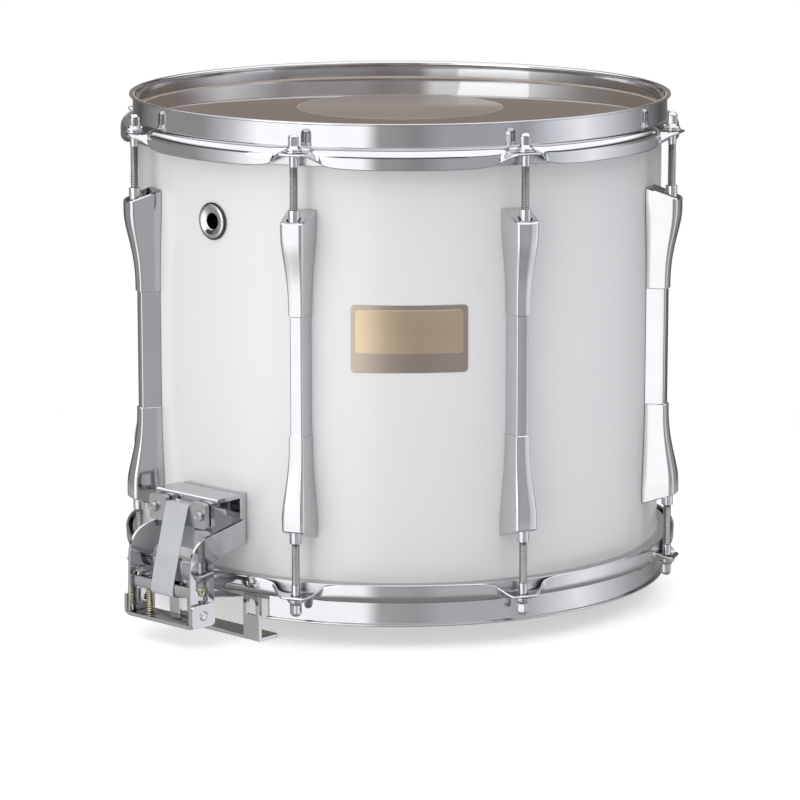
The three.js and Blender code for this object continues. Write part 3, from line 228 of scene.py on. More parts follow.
# Studio: what lies behind the drum, in a band over that, overhead and below, each with the rises between
# which it sets in. A rise is the height of a direction, from -1 straight down to 1 straight up
STUDIO_BEHIND, BEHIND_RISE = (0.3, 0.27, 0.25), (0.03, 0.1)
STUDIO_SEAM, SEAM_RISE = (0.1, 0.095, 0.1), (0.23, 0.31)
STUDIO_TOP, TOP_RISE = (1.1, 1.1, 1.12), (0.4, 0.56)
STUDIO_TOP_SHEEN = (1.6, 1.6, 1.62)
STUDIO_BELOW, BELOW_RISE = (0.2, 0.19, 0.18), (-0.35, -0.85)
BEHIND_REACH = (0.0, -0.5)  # along the view, from beside the drum to behind it
LAMP_AIM = 0.17  # metres up

# Surfaces. Noise scales are in waves per metre
NOISE_RANGE = (0.1, 0.9)
STAIN_SCALE = 55
SMEAR_SCALE = 130
WAVE_SCALE = 40
WAVE_STRENGTH = 0.25
WAVE_DEPTH = 0.00002
SOFT_ANGLE = 32
BEVEL_ANGLE = 32
FLAT_ANGLE = 40


# Geometry helpers

def polar(radius, degrees, z):
    a = math.radians(degrees)
    return Vector((radius * math.cos(a), radius * math.sin(a), z))


def lofted(rings, around=False):
    """A skin through rings of points. Around joins the last ring to the first, else both ends are capped."""
    count = len(rings[0])
    verts = [Vector(p) for ring in rings for p in ring]
    faces = []
    for i in range(len(rings) if around else len(rings) - 1):
        here, there = i * count, (i + 1) % len(rings) * count
        for k in range(count):
            n = (k + 1) % count
            faces.append((here + k, here + n, there + n, there + k))
    if not around:
        faces.append(tuple(range(count)))
        faces.append(tuple(range(len(verts) - count, len(verts))))
    return verts, faces


def turned(profile, sides, centre=(0, 0, 0)):
    """A closed (radius, height) outline turned about Z."""
    rings = []
    for i in range(sides):
        a = i / sides * TAU
        rings.append([Vector((r * math.cos(a), r * math.sin(a), z)) + Vector(centre) for r, z in profile])
    return lofted(rings, around=True)


def cylinder(radius, low, high, sides, centre=(0, 0, 0)):
    return turned([(AXIS, low), (radius, low), (radius, high), (AXIS, high)], sides, centre)


def rounded(start, corner, end, steps):
    """Points from start to end that round a corner off."""
    shares = [k / steps for k in range(steps + 1)]
    return [start * (1 - t) ** 2 + corner * 2 * t * (1 - t) + end * t ** 2 for t in shares]


def fillet(points, steps=4):
    """A closed outline whose corners are rounded by their third value."""
    out = []
    for i, (x, y, *own) in enumerate(points):
        radius = own[0] if own else 0
        corner = Vector((x, y))
        if radius <= 0:
            out.append(corner)
            continue
        before = Vector(points[i - 1][:2]) - corner
        after = Vector(points[(i + 1) % len(points)][:2]) - corner
        size = min(radius, before.length / 2, after.length / 2)
        start, end = corner + before.normalized() * size, corner + after.normalized() * size
        out += rounded(start, corner, end, steps)
    return out


def coil(radius, low, high, turns, wire, steps, sides, to_place):
    """A wire wound about an axis. to_place turns (x, y, along) into a point."""
    count = round(turns * steps)
    lift = Vector((0, 0, 1))
    rings = []
    for i in range(count + 1):
        a = i / steps * TAU
        x, y = radius * math.cos(a), radius * math.sin(a)
        centre = Vector((x, y, low + (high - low) * i / count))
        out = Vector((x, y, 0)).normalized()
        rings.append([to_place(centre + (out * math.cos(b) + lift * math.sin(b)) * wire / 2)
                      for b in (k / sides * TAU for k in range(sides))])
    return lofted(rings)


def placed(part, matrix):
    verts, faces = part
    return [matrix @ v for v in verts], faces


def linked(name, data):
    """A new object in the scene that holds the given mesh, lamp or camera."""
    obj = bpy.data.objects.new(name, data)
    bpy.context.scene.collection.objects.link(obj)
    return obj


def from_bmesh(name, bm):
    mesh = bpy.data.meshes.new(name)
    bm.to_mesh(mesh)
    bm.free()
    return linked(name, mesh)


def mesh_object(name, parts):
    """One mesh object from parts in millimetres."""
    bm = bmesh.new()
    for verts, faces in parts:
        made = [bm.verts.new(v * MM) for v in verts]
        for face in faces:
            bm.faces.new([made[i] for i in face])
    bmesh.ops.recalc_face_normals(bm, faces=bm.faces)
    return from_bmesh(name, bm)


def apply_modifiers(obj):
    bpy.context.view_layer.update()
    mesh = bpy.data.meshes.new_from_object(obj.evaluated_get(bpy.context.evaluated_depsgraph_get()))
    obj.modifiers.clear()
    obj.data = mesh


def carved(obj, *tools):
    """Cuts parts in millimetres out of an object."""
    for i, tool in enumerate(tools):
        cutter = mesh_object(obj.name + "_tool" + str(i), [tool])
        cut = obj.modifiers.new("cut", "BOOLEAN")
        cut.operation, cut.solver, cut.object = "DIFFERENCE", "EXACT", cutter
        apply_modifiers(obj)
        bpy.data.objects.remove(cutter)
    return obj


def bevelled(obj, width):
    bevel = obj.modifiers.new("bevel", "BEVEL")
    bevel.width, bevel.segments = width * MM, 2
    bevel.limit_method, bevel.angle_limit = "ANGLE", math.radians(BEVEL_ANGLE)
    apply_modifiers(obj)
    return obj


def shaded(obj, angle):
    """Smooth shading that breaks at edges sharper than an angle."""
    obj.data.shade_smooth()
    obj.data.set_sharp_from_angle(angle=math.radians(angle))


def even_normals(obj):
    """Keeps flat faces looking flat beside their bevels."""
    shaded(obj, FLAT_ANGLE)
    weigh = obj.modifiers.new("weigh", "WEIGHTED_NORMAL")
    weigh.weight, weigh.keep_sharp = 100, True
    apply_modifiers(obj)


def finished(obj, material, body, nodes=(), smooth=SOFT_ANGLE):
    """Shades a piece, gives it its material, and sets it riding on its body in place of its nodes.
    A piece with no body is left unattached."""
    shaded(obj, smooth)
    obj.data.materials.clear()
    obj.data.materials.append(material)
    if body:
        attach(obj, body)
    if nodes:
        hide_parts(*nodes)
    return obj


def refined(node, material, body, width):
    """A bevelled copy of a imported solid."""
    bm = bmesh.new()
    bm.from_mesh(frame["nodes"][node].data)
    bmesh.ops.remove_doubles(bm, verts=bm.verts, dist=1e-6)
    bmesh.ops.dissolve_limit(bm, angle_limit=math.radians(1.2), verts=bm.verts, edges=bm.edges)
    obj = bevelled(from_bmesh(node + "_piece", bm), width)
    finished(obj, material, body, [node])
    even_normals(obj)


# Materials

def base_material(name, colour, metallic, roughness):
    material = bpy.data.materials.new(name)
    material.use_nodes = True
    shader = material.node_tree.nodes["Principled BSDF"]
    shader.inputs["Base Color"].default_value = (*colour, 1)
    shader.inputs["Metallic"].default_value = metallic
    shader.inputs["Roughness"].default_value = roughness
    return material, shader


def noise(tree, scale, detail, stretch=(1, 1, 1)):
    """A noise pattern fixed to the piece."""
    place = tree.nodes.new("ShaderNodeTexCoord")
    mapping = tree.nodes.new("ShaderNodeMapping")
    mapping.inputs["Scale"].default_value = stretch
    texture = tree.nodes.new("ShaderNodeTexNoise")
    texture.inputs["Scale"].default_value = scale
    texture.inputs["Detail"].default_value = detail
    tree.links.new(place.outputs["Object"], mapping.inputs["Vector"])
    tree.links.new(mapping.outputs["Vector"], texture.inputs["Vector"])
    return texture.outputs["Fac"]


def ranged(tree, value, low, high):
    """A noise's value brought between low and high."""
    node = tree.nodes.new("ShaderNodeMapRange")
    for name, number in zip(("From Min", "From Max", "To Min", "To Max"), (*NOISE_RANGE, low, high)):
        node.inputs[name].default_value = number
    tree.links.new(value, node.inputs["Value"])
    return node.outputs["Result"]


def mixed(tree, factor, low, high):
    """A mix of two colours, each written out or taken from another node."""
    node = tree.nodes.new("ShaderNodeMix")
    node.data_type = "RGBA"
    for socket, value in ((node.inputs["A"], low), (node.inputs["B"], high)):
        if isinstance(value, tuple):
            socket.default_value = (*value, 1)
        else:
            tree.links.new(value, socket)
    tree.links.new(factor, node.inputs["Factor"])
    return node.outputs["Result"]


def bumped(tree, shader, value, strength, distance):
    node = tree.nodes.new("ShaderNodeBump")
    node.inputs["Strength"].default_value = strength
    node.inputs["Distance"].default_value = distance
    tree.links.new(value, node.inputs["Height"])
    tree.links.new(node.outputs["Normal"], shader.inputs["Normal"])


def metal(name, low, high, rough, stretch=(1, 1, 1)):
    """A metal whose tone, gloss and flatness vary a little."""
    material, shader = base_material(name, high, 1, rough[0])
    tree = material.node_tree
    stain = ranged(tree, noise(tree, STAIN_SCALE, 5), 0, 1)
    tree.links.new(mixed(tree, stain, low, high), shader.inputs["Base Color"])
    smear = noise(tree, SMEAR_SCALE, 6, stretch)
    tree.links.new(ranged(tree, smear, *rough), shader.inputs["Roughness"])
    bumped(tree, shader, noise(tree, WAVE_SCALE, 2), WAVE_STRENGTH, WAVE_DEPTH)
    return material


def plastic(name, low, high, rough, scale, coat=0.0, coat_rough=0.05, bump=(300, 0.1, 0.00002)):
    """A plastic whose tone and gloss vary a little. Bump is its scale, strength and depth."""
    material, shader = base_material(name, high, 0, rough[0])
    tree = material.node_tree
    stain = ranged(tree, noise(tree, scale, 4), 0, 1)
    tree.links.new(mixed(tree, stain, low, high), shader.inputs["Base Color"])
    tree.links.new(ranged(tree, noise(tree, scale * 2, 5), *rough), shader.inputs["Roughness"])
    shader.inputs["Coat Weight"].default_value = coat
    shader.inputs["Coat Roughness"].default_value = coat_rough
    bumped(tree, shader, noise(tree, bump[0], 3), *bump[1:])
    return material, shader


chrome = metal("chrome", (0.56, 0.565, 0.58), (0.62, 0.625, 0.64), (0.03, 0.08))
cast_chrome = metal("cast_chrome", (0.58, 0.58, 0.59), (0.62, 0.62, 0.635), (0.06, 0.12))
satin = metal("satin_metal", (0.52, 0.52, 0.535), (0.57, 0.57, 0.585), (0.28, 0.32), stretch=(1, 12, 1))
steel = metal("wire_steel", (0.45, 0.38, 0.26), (0.66, 0.58, 0.42), (0.2, 0.4))
zinc = metal("yellow_zinc", (0.56, 0.5, 0.36), (0.74, 0.68, 0.5), (0.22, 0.36))
plated = metal("pale_zinc", (0.5, 0.48, 0.42), (0.62, 0.6, 0.54), (0.14, 0.26))
thread = metal("thread_steel", (0.3, 0.29, 0.28), (0.44, 0.43, 0.42), (0.16, 0.28))
champagne = metal("plate_finish", (0.62, 0.49, 0.34), (0.7, 0.57, 0.41), (0.26, 0.34), stretch=(1, 1, 30))
edging = metal("plate_edge", (0.42, 0.36, 0.3), (0.5, 0.43, 0.37), (0.26, 0.34), stretch=(1, 1, 30))
rim_line = metal("plate_line", (0.6, 0.54, 0.42), (0.7, 0.64, 0.52), (0.3, 0.42))
covering, _ = plastic(
    "shell_covering", (0.845, 0.845, 0.85), (0.855, 0.855, 0.86), (0.27, 0.29), 2,
    coat=0.5, bump=(60, 0.02, 0.00001))
film, film_shader = plastic(
    "batter_film", (0.165, 0.129, 0.107), (0.178, 0.141, 0.117), (0.3, 0.36), 14, coat=0.9, coat_rough=0.03)
film_shader.inputs["Specular IOR Level"].default_value = 0
dot, dot_shader = plastic(
    "dot_film", (0.285, 0.248, 0.218), (0.295, 0.257, 0.226), (0.34, 0.4), 18,
    coat=0.6, coat_rough=0.2, bump=(120, 0.01, 0.00001))
dot_shader.inputs["Specular IOR Level"].default_value = 0
dot_edge, _ = plastic("dot_edge", (0.42, 0.37, 0.26), (0.5, 0.44, 0.32), (0.3, 0.4), 40)
# Painted highlight: the light tan of the ring along the batter film's bend at the bearing edge
fold_highlight, _ = plastic("painted_fold_highlight", (0.5, 0.42, 0.34), (0.58, 0.5, 0.4), (0.35, 0.5), 40)
haze, _ = plastic("snare_film", (0.6, 0.59, 0.55), (0.68, 0.67, 0.63), (0.25, 0.4), 14)
rubber, _ = plastic("black_rubber", (0.012, 0.012, 0.013), (0.02, 0.02, 0.022), (0.4, 0.6), 90)
band, band_shader = plastic(
    "strap_plastic", (0.8, 0.82, 0.86), (0.84, 0.86, 0.89), (0.3, 0.42), 60, bump=(400, 0.1, 0.00003))
band_shader.inputs["Transmission Weight"].default_value = 0.45
band_shader.inputs["IOR"].default_value = 1.46


# Shell

def shell():
    """The shell's wall, with rounded edges and the vent's hole."""
    inner = SHELL_RADIUS - SHELL_WALL
    profile = fillet([
        (SHELL_RADIUS, SHELL_BOTTOM, 1.8), (SHELL_RADIUS, SHELL_TOP, 1.8),
        (inner + 2, SHELL_TOP, 0.4), (inner, SHELL_TOP - 2), (inner, SHELL_BOTTOM + 2),
        (inner + 2, SHELL_BOTTOM, 0.4)])
    obj = mesh_object("shell_wall", [turned(profile, 288)])
    at = Matrix.Translation((-SHELL_RADIUS, 0, SHELL_TOP - VENT_DROP))
    carved(obj, placed(cylinder(VENT_HOLE, -20, 20, 40), at @ Matrix.Rotation(math.pi / 2, 4, "Y")))
    finished(obj, covering, "drum", ["shell"])


shell()


# Heads

def head(name, edge, up, material, nodes):
    """A film drawn over the shell's edge, and the ring it is tucked into. Heights are measured outwards from
    the edge.
    """
    hoop_top = FILM + PLAYING_DEPTH - EAR_DEPTH
    hoop_bottom = hoop_top - HOOP_HEIGHT
    inner, outer = SHELL_RADIUS + GAP, SHELL_RADIUS + GAP + FILM
    film_line = fillet([
        (AXIS, GAP), (inner, GAP, 2.4), (inner, hoop_bottom), (outer, hoop_bottom), (outer, GAP + FILM, 2.8),
        (AXIS, GAP + FILM)], 6)
    ring = fillet([
        (outer - 0.1, hoop_bottom, 0.5), (HOOP_RADIUS, hoop_bottom, 0.8), (HOOP_RADIUS, hoop_top, 2.4),
        (outer - 0.1, hoop_top, 0.5)])
    obj = mesh_object(name, [turned([(r, edge + up * z) for r, z in film_line], 240)])
    finished(obj, material, "drum", nodes)
    flesh = mesh_object(name + "_hoop", [turned([(r, edge + up * z) for r, z in ring], 240)])
    finished(flesh, satin, "drum")


def on_film(name, points, steps, sides, material):
    """A ring or disc on the batter film."""
    finished(mesh_object(name, [turned(fillet(points, steps), sides)]), material, "drum")


head("batter_film", SHELL_TOP, 1, film, ["batter_head"])
head("snare_film", SHELL_BOTTOM, -1, haze, ["snare_head"])
film_top = SHELL_TOP + GAP + FILM
dot_low, dot_top = film_top - 0.05, film_top + DOT_RISE
on_film("batter_dot", [
    (AXIS, dot_low), (DOT_RADIUS, dot_low), (DOT_RADIUS, dot_top, 0.1), (AXIS, dot_top)], 2, 160, dot)
dot_outer = DOT_RADIUS + DOT_EDGE
on_film("batter_dot_edge", [
    (DOT_RADIUS - 0.1, dot_low), (dot_outer, dot_low), (dot_outer, dot_top + 0.02, 0.1),
    (DOT_RADIUS - 0.1, dot_top + 0.02, 0.1)], 2, 160, dot_edge)
# A thin raised ring where the film bends over the bearing edge, coloured light tan as a painted highlight
fold_low, fold_high = film_top - FOLD_RISE, film_top + FOLD_RISE
on_film("batter_fold_highlight", [
    (FOLD_INNER, fold_low), (FOLD_OUTER, fold_low), (FOLD_OUTER, fold_high, 0.2),
    (FOLD_INNER + 0.4, fold_high, 0.2)], 3, 240, fold_highlight)


# Rims

def smooth_share(value):
    t = min(max(value, 0), 1)
    return t * t * (3 - 2 * t)


def mix(first, second, share):
    return Vector(first).lerp(Vector(second), share)


def bezier(a, b, c, d, steps):
    """Points along a curve from a to d."""
    out = []
    for k in range(steps + 1):
        t = k / steps
        out.append(a * (1 - t) ** 3 + b * 3 * t * (1 - t) ** 2 + c * 3 * t * t * (1 - t) + d * t ** 3)
    return out


def flange_line(offset):
    """The flange's outer line in (radius, depth), and its tip: a dome and skirt that rise to a flat ear over
    each lug. Offset is in degrees from the lug."""
    rise = 1 / (1 + (abs(offset) / SKIRT_HALF_ANGLE) ** SKIRT_TURN)
    reach = smooth_share((EAR_FOOT_ANGLE - abs(offset)) / (EAR_FOOT_ANGLE - EAR_HALF_ANGLE))
    start = Vector((RIM_RADIUS + 0.7, SHOULDER_DEPTH))
    out = mix((SKIRT_RADIUS - 3.2, SHOULDER_DEPTH), (RIM_RADIUS + 3, SHOULDER_DEPTH + 0.1), reach)
    down = mix((SKIRT_RADIUS, SHOULDER_DEPTH + 2.8), (SKIRT_RADIUS, SHOULDER_DEPTH + 0.9), rise)
    down = mix(down, (FLAP_ROOT - 1.8, EAR_DEPTH), reach)
    end = mix((SKIRT_RADIUS, DOME_DEPTH), (SKIRT_RADIUS, EAR_DEPTH), rise)
    end = mix(end, (FLAP_ROOT + 1, EAR_DEPTH), reach)
    tip = mix((SKIRT_RADIUS, RIM_HEIGHT), (SKIRT_RADIUS, EAR_DEPTH + 1.6), rise)
    tip = mix(tip, (EAR_REACH, EAR_DEPTH), reach)
    return bezier(start, out, down, end, 10) + [end.lerp(tip, share) for share in (0.35, 0.7)], tip


def rim_outline(offset):
    """The rim's closed section: rolled lip, wall, and the flange with its thickness and round tip."""
    line, tip = flange_line(offset)
    inner = []
    for i, p in enumerate(line):
        way = ((line[i + 1] if i + 1 < len(line) else tip) - line[max(i - 1, 0)]).normalized()
        inner.append(p + Vector((-way.y, way.x)) * FLAP_SHEET)
    way = (tip - line[-1]).normalized()
    side = Vector((-way.y, way.x))
    half = FLAP_SHEET / 2
    centre = tip - way * half + side * half
    angles = [math.radians(90 - 36 * k) for k in range(6)]
    turn = [centre + (way * math.cos(a) - side * math.sin(a)) * half for a in angles]
    wall = RIM_RADIUS - RIM_SHEET
    lip = RIM_RADIUS + RIM_LIP_WIDTH
    return fillet([
        (wall, 0, 2.2), (lip, 0, 0.7), (lip, RIM_LIP, 0.6), (RIM_RADIUS, RIM_LIP, 0.5),
        (RIM_RADIUS, SHOULDER_DEPTH, 0.4), *line, *turn, *reversed(inner),
        (wall, SHOULDER_DEPTH + RIM_SHEET, 0.8)], 5)


def box(low, high):
    """A box between two corners."""
    (x0, x1), (y0, y1), (z0, z1) = zip(low, high)
    corners = [Vector((x, y, z0)) for x, y in ((x0, y0), (x1, y0), (x1, y1), (x0, y1))]
    return lofted([corners, [c + Vector((0, 0, z1 - z0)) for c in corners]])


def rim(name, edge, up, gated, node):
    """A rim whose depths run down (up = 1) or up (up = -1) from its edge. Gated cuts a gate at each unit."""
    right = EAR_ANGLES + SKIRT_ANGLES
    offsets = [-a for a in reversed(right)] + right + [LUG_STEP / 2]
    rings = []
    for lug in range(LUGS):
        for offset in offsets:
            turn = (lug + 0.5) * LUG_STEP + offset
            rings.append([polar(r, turn, edge - up * depth) for r, depth in rim_outline(offset)])
    obj = mesh_object(name, [lofted(rings, around=True)])
    ear = edge - up * EAR_DEPTH
    holes = []
    for lug in range(LUGS):
        at = polar(ROD_CIRCLE, (lug + 0.5) * LUG_STEP, 0)
        holes.append(cylinder(EAR_HOLE, ear - 8, ear + 8, 24, at))
    if gated:
        half = GATE_WIDTH / 2
        for side in (-1, 1):
            low, high = sorted((side * 160, side * 200))
            holes.append(box((low, -half, edge - 5), (high, half, edge + SHOULDER_DEPTH)))
    carved(obj, *holes)
    finished(obj, chrome, "drum", [node], smooth=60)


rim("batter_rim_piece", DRUM_TOP, 1, False, "batter_rim")
rim("snare_rim_piece", RIM_PLANE, -1, True, "snare_rim")


# Lugs

def crowned(start, end, rise, steps=6):
    """Points from start to end that bulge by rise, the end left out."""
    way = end - start
    out = Vector((way.y, -way.x)).normalized() * rise
    return [start + way * t + out * 4 * t * (1 - t) for t in (k / steps for k in range(steps))]


def casing_ring(along, inset=0.0):
    """A casing's section: a front and two slanted sides, each a little crowned, with round corners."""
    swell = smooth_share((max(along, 0) / CASING_LENGTH / 0.88) ** 1.35)
    depth = NECK_DEPTH + (CASING_DEPTH - NECK_DEPTH) * swell - inset
    half = (NECK_WIDTH + (CASING_WIDTH - NECK_WIDTH) * swell) / 2 - inset
    back = (NECK_BACK_WIDTH + (CASING_BACK_WIDTH - NECK_BACK_WIDTH) * swell) / 2 - inset
    rear = SHELL_RADIUS + GAP
    front = rear + depth
    corner = 1.5 + 1.9 * swell
    corners = fillet([(rear, -back), (front, -half, corner), (front, half, corner), (rear, back)], 5)
    return [
        *crowned(corners[0], corners[1], CROWN * 0.6), *corners[1:6], *crowned(corners[6], corners[7], CROWN),
        *corners[7:12], *crowned(corners[12], corners[13], CROWN * 0.6), corners[13]]


def casing(name, up):
    """A casing whose rod end slants, so that it is longest against the shell."""
    rear = SHELL_RADIUS + GAP
    stations = [(0, 0.5), (0.5, 0)] + [(CASING_LENGTH * i / 32, 0) for i in range(1, 32)]
    stations += [(CASING_LENGTH - 0.7, 0), (CASING_LENGTH, 0.6)]
    rings = []
    for along, inset in stations:
        slant = CASING_SLANT * smooth_share(along / CASING_LENGTH)
        ring = []
        for p in casing_ring(along, inset):
            rise = TUBE_LENGTH / 2 + along + slant * (rear + CASING_DEPTH - p.x) / CASING_DEPTH
            ring.append(Vector((p.x, p.y, MIDDLE + up * rise)))
        rings.append(ring)
    obj = mesh_object(name, [lofted(rings)])
    end = MIDDLE + up * CASING_END
    low, high = sorted((end - up * 4, end + up * 12))
    return carved(obj, cylinder(NUT_RECESS, low, high, 40, (ROD_CIRCLE, 0, 0)))


def lug_parts():
    """A lug's tube, and a swivel nut for each casing."""
    rear = SHELL_RADIUS + GAP
    half, back = TUBE_WIDTH / 2, TUBE_BACK_WIDTH / 2
    front = rear + TUBE_DEPTH
    outline = fillet([(rear, -back), (front, -half, 1.1), (front, half, 1.1), (rear, back)])
    reach = TUBE_LENGTH / 2 + 2
    parts = [lofted([[Vector((p.x, p.y, z)) for p in outline] for z in (MIDDLE - reach, MIDDLE + reach)])]
    for up in (-1, 1):
        end = MIDDLE + up * CASING_END
        profile = fillet([
            (3.1, end - up * 5), (NUT_RADIUS, end - up * 5), (NUT_RADIUS, end + up * NUT_RISE, 0.6),
            (3.1, end + up * NUT_RISE, 0.4)], 3)
        parts.append(turned(profile, 32, (ROD_CIRCLE, 0, 0)))
    return parts


def joined(name, objects):
    """One object from several, each taken in place."""
    bm = bmesh.new()
    for obj in objects:
        bm.from_mesh(obj.data)
        bpy.data.objects.remove(obj)
    return from_bmesh(name, bm)


def copies(pattern, names, matrices):
    """Copies of an object's mesh in new places. Removes the object."""
    made = []
    for name, matrix in zip(names, matrices):
        mesh = pattern.data.copy()
        move = matrix.copy()
        move.translation = move.translation * MM
        mesh.transform(move)
        made.append(linked(name, mesh))
    bpy.data.objects.remove(pattern)
    return made


def numbered(pattern):
    return [pattern % (n + 1) for n in range(LUGS)]


lug_turns = [Matrix.Rotation(math.radians((i + 0.5) * LUG_STEP), 4, "Z") for i in range(LUGS)]
casings = joined("casings", [casing("casing_lower", -1), casing("casing_upper", 1)])
for obj, node in zip(copies(casings, numbered("lug_casings_%d"), lug_turns), numbered("lug_%d")):
    finished(obj, cast_chrome, "drum", [node])
for obj in copies(mesh_object("lug_middle", lug_parts()), numbered("lug_tube_%d"), lug_turns):
    finished(obj, chrome, "drum")


# Tension rods

def thread_part(low, high):
    """A threaded length: the radius follows a helix from root to crest."""
    sides, per_turn = 14, 5
    count = round((high - low) / THREAD_PITCH * per_turn)
    rings = []
    for i in range(count + 1):
        z = low + (high - low) * i / count
        ring = []
        for k in range(sides):
            phase = (z / THREAD_PITCH - k / sides) % 1
            radius = THREAD_ROOT + (ROD_RADIUS - THREAD_ROOT) * (1 - abs(2 * phase - 1))
            ring.append(Vector((radius * math.cos(k / sides * TAU), radius * math.sin(k / sides * TAU), z)))
        rings.append(ring)
    return lofted(rings)


def rod_parts():
    """An upper rod on the axis: its neck, washer, collar and square head, and its threads by themselves."""
    ear = DRUM_TOP - EAR_DEPTH + GAP
    head_low = ear + 3
    threads = thread_part(MIDDLE + CASING_END - 16, ear - ROD_NECK)
    low = ear - ROD_NECK - 0.4
    neck = turned(fillet([
        (AXIS, low), (ROD_RADIUS, low, 0.3), (ROD_RADIUS, ear + 1), (AXIS, ear + 1)], 2), 24)
    washer = turned(fillet([
        (AXIS, ear), (WASHER_RADIUS, ear, 0.35), (WASHER_RADIUS, ear + WASHER, 0.35),
        (AXIS, ear + WASHER)], 3), 40)
    collar = turned(fillet([
        (AXIS, ear + 0.8), (4.3, ear + 0.8), (4.3, ear + 1.35), (5.3, ear + 1.35, 0.3), (5.3, ear + 2.2, 0.3),
        (4.4, ear + 2.6, 0.8), (3.7, head_low + 1.6, 0.8), (AXIS, head_low + 1.6)], 3), 40)
    rings = []
    for rise, size in [(-0.5, 1)] + [(ROD_HEAD_HEIGHT * share, size) for share, size in ROD_HEAD_SHAPE]:
        s = ROD_HEAD_WIDTH / 2 * size
        corner = ROD_HEAD_CORNER + (1 - size) * 1.4
        outline = fillet([(-s, -s, corner), (s, -s, corner), (s, s, corner), (-s, s, corner)], 5)
        rings.append([Vector((p.x, p.y, head_low + rise)) for p in outline])
    return [neck, washer, collar, lofted(rings)], [threads]


def rods():
    chrome_parts, thread_parts = rod_parts()
    over = Matrix.Translation((0, 0, 2 * MIDDLE)) @ Matrix.Rotation(math.pi, 4, "X")
    places = [(turn, flip) for flip in (Matrix.Identity(4), over) for turn in lug_turns]
    out = Matrix.Translation((ROD_CIRCLE, 0, 0))
    matrices = [turn @ out @ flip @ Matrix.Rotation(math.radians(spin), 4, "Z")
                for (turn, flip), spin in zip(places, ROD_SPINS)]
    names = numbered("batter_rod_%d") + numbered("snare_rod_%d")
    heads = copies(mesh_object("rod_pattern", chrome_parts), [n + "_head" for n in names], matrices)
    for obj, node in zip(heads, names):
        finished(obj, chrome, node, [node])
    threads = copies(mesh_object("thread_pattern", thread_parts), [n + "_thread" for n in names], matrices)
    for obj, node in zip(threads, names):
        finished(obj, thread, node)


rods()


# Vent and bare plate

def vent():
    """The grommet's dished face with its sleeve through the wall, and the dark ring under it."""
    face = SHELL_RADIUS + GAP
    back = SHELL_RADIUS - SHELL_WALL
    profile = fillet([
        (5.3, back), (6.2, back), (6.2, face + 0.5), (11.2, face + 0.5, 0.4), (11.2, face + 1.7, 0.9),
        (9.6, face + 2.3, 0.8), (6.6, face + 1.2, 0.8), (5.3, face + 0.6, 0.4)], 4)
    turn = Matrix.Translation((0, 0, SHELL_TOP - VENT_DROP)) @ Matrix.Rotation(-math.pi / 2, 4, "Y")
    obj = mesh_object("vent_face", [placed(turned(profile, 64), turn)])
    finished(obj, chrome, "drum", ["vent_grommet"])
    ring = fillet([(6.4, face), (12.3, face, 0.4), (12.3, face + 1, 0.5), (6.4, face + 1)], 3)
    washer = mesh_object("vent_ring", [placed(turned(ring, 64), turn)])
    finished(washer, rubber, "drum")


vent()


def curved_plate(name, centre, low, high, arc, corner, inner, outer, material):
    """A plate with rounded corners, bent round the shell. Arc is its width along the shell."""
    half = arc / 2
    rise = (high - low) / 2
    middle = (high + low) / 2
    quarter = [k / 12 * math.pi for k in range(7)]
    left = [(-half + corner * (1 - math.cos(a)), corner * (1 - math.sin(a))) for a in quarter]
    columns = left + [(-half + corner + (arc - 2 * corner) * k / 24, 0) for k in range(1, 24)]
    columns += [(-x, cut) for x, cut in reversed(left)]
    rings = []
    edge = min(0.25, (outer - inner) / 2)
    for x, cut in columns:
        turn = centre + math.degrees(x / SHELL_RADIUS)
        bottom, top = middle - rise + cut, middle + rise - cut
        section = [
            (inner, bottom), (outer - edge, bottom), (outer, bottom + edge), (outer, top - edge),
            (outer - edge, top), (inner, top)]
        rings.append([polar(r, turn, z) for r, z in section])
    obj = mesh_object(name, [lofted(rings)])
    finished(obj, material, "drum")


for name, foot, head_room, arc, corner, inner, outer, material in (
        ("bare_plate", 0, 0, PLATE_WIDTH, 2.6, -0.1, 0.5, edging),
        ("bare_plate_line", 12.4, 3, PLATE_WIDTH - 6.2, 2.2, 0, 0.58, rim_line),
        ("bare_plate_field", 12.9, 3.5, PLATE_WIDTH - 7.2, 1.8, 0, 0.66, champagne)):
    curved_plate(name, 5 * LUG_STEP, PLATE_LOW + foot, PLATE_HIGH - head_room, arc, corner,
                 SHELL_RADIUS + inner, SHELL_RADIUS + outer, material)


# Snare wires

def wires():
    """The coiled strands and the plate at each of their ends."""
    parts = []
    reach = WIRE_REACH - 3
    for i in range(STRAND_COUNT):
        across = (i - (STRAND_COUNT - 1) / 2) * STRAND_PITCH
        parts.append(coil(COIL_RADIUS, -reach, reach, 2 * reach / COIL_PITCH, COIL_WIRE, 7, 3,
                          lambda p, t=across: Vector((p.z, t + p.x, STRAND_HEIGHT + p.y))))
    obj = mesh_object("snare_wire_coils", parts)
    finished(obj, steel, "snares", ["snare_wires"], smooth=60)
    plates = []
    for side in (-1, 1):
        low, high = sorted((side * (WIRE_REACH - 14), side * WIRE_REACH))
        plates.append(box((low, -23, END_PLATE_BOTTOM), (high, 23, END_PLATE_BOTTOM + 1.7)))
    plate = bevelled(mesh_object("snare_end_plates", plates), 0.4)
    finished(plate, steel, "snares")


wires()


# Snare units

SIDES = (("left", -1), ("right", 1))


def unit_matrix(unit):
    return Matrix.Rotation(math.pi, 4, "Z") if unit == "butt" else Matrix.Identity(4)


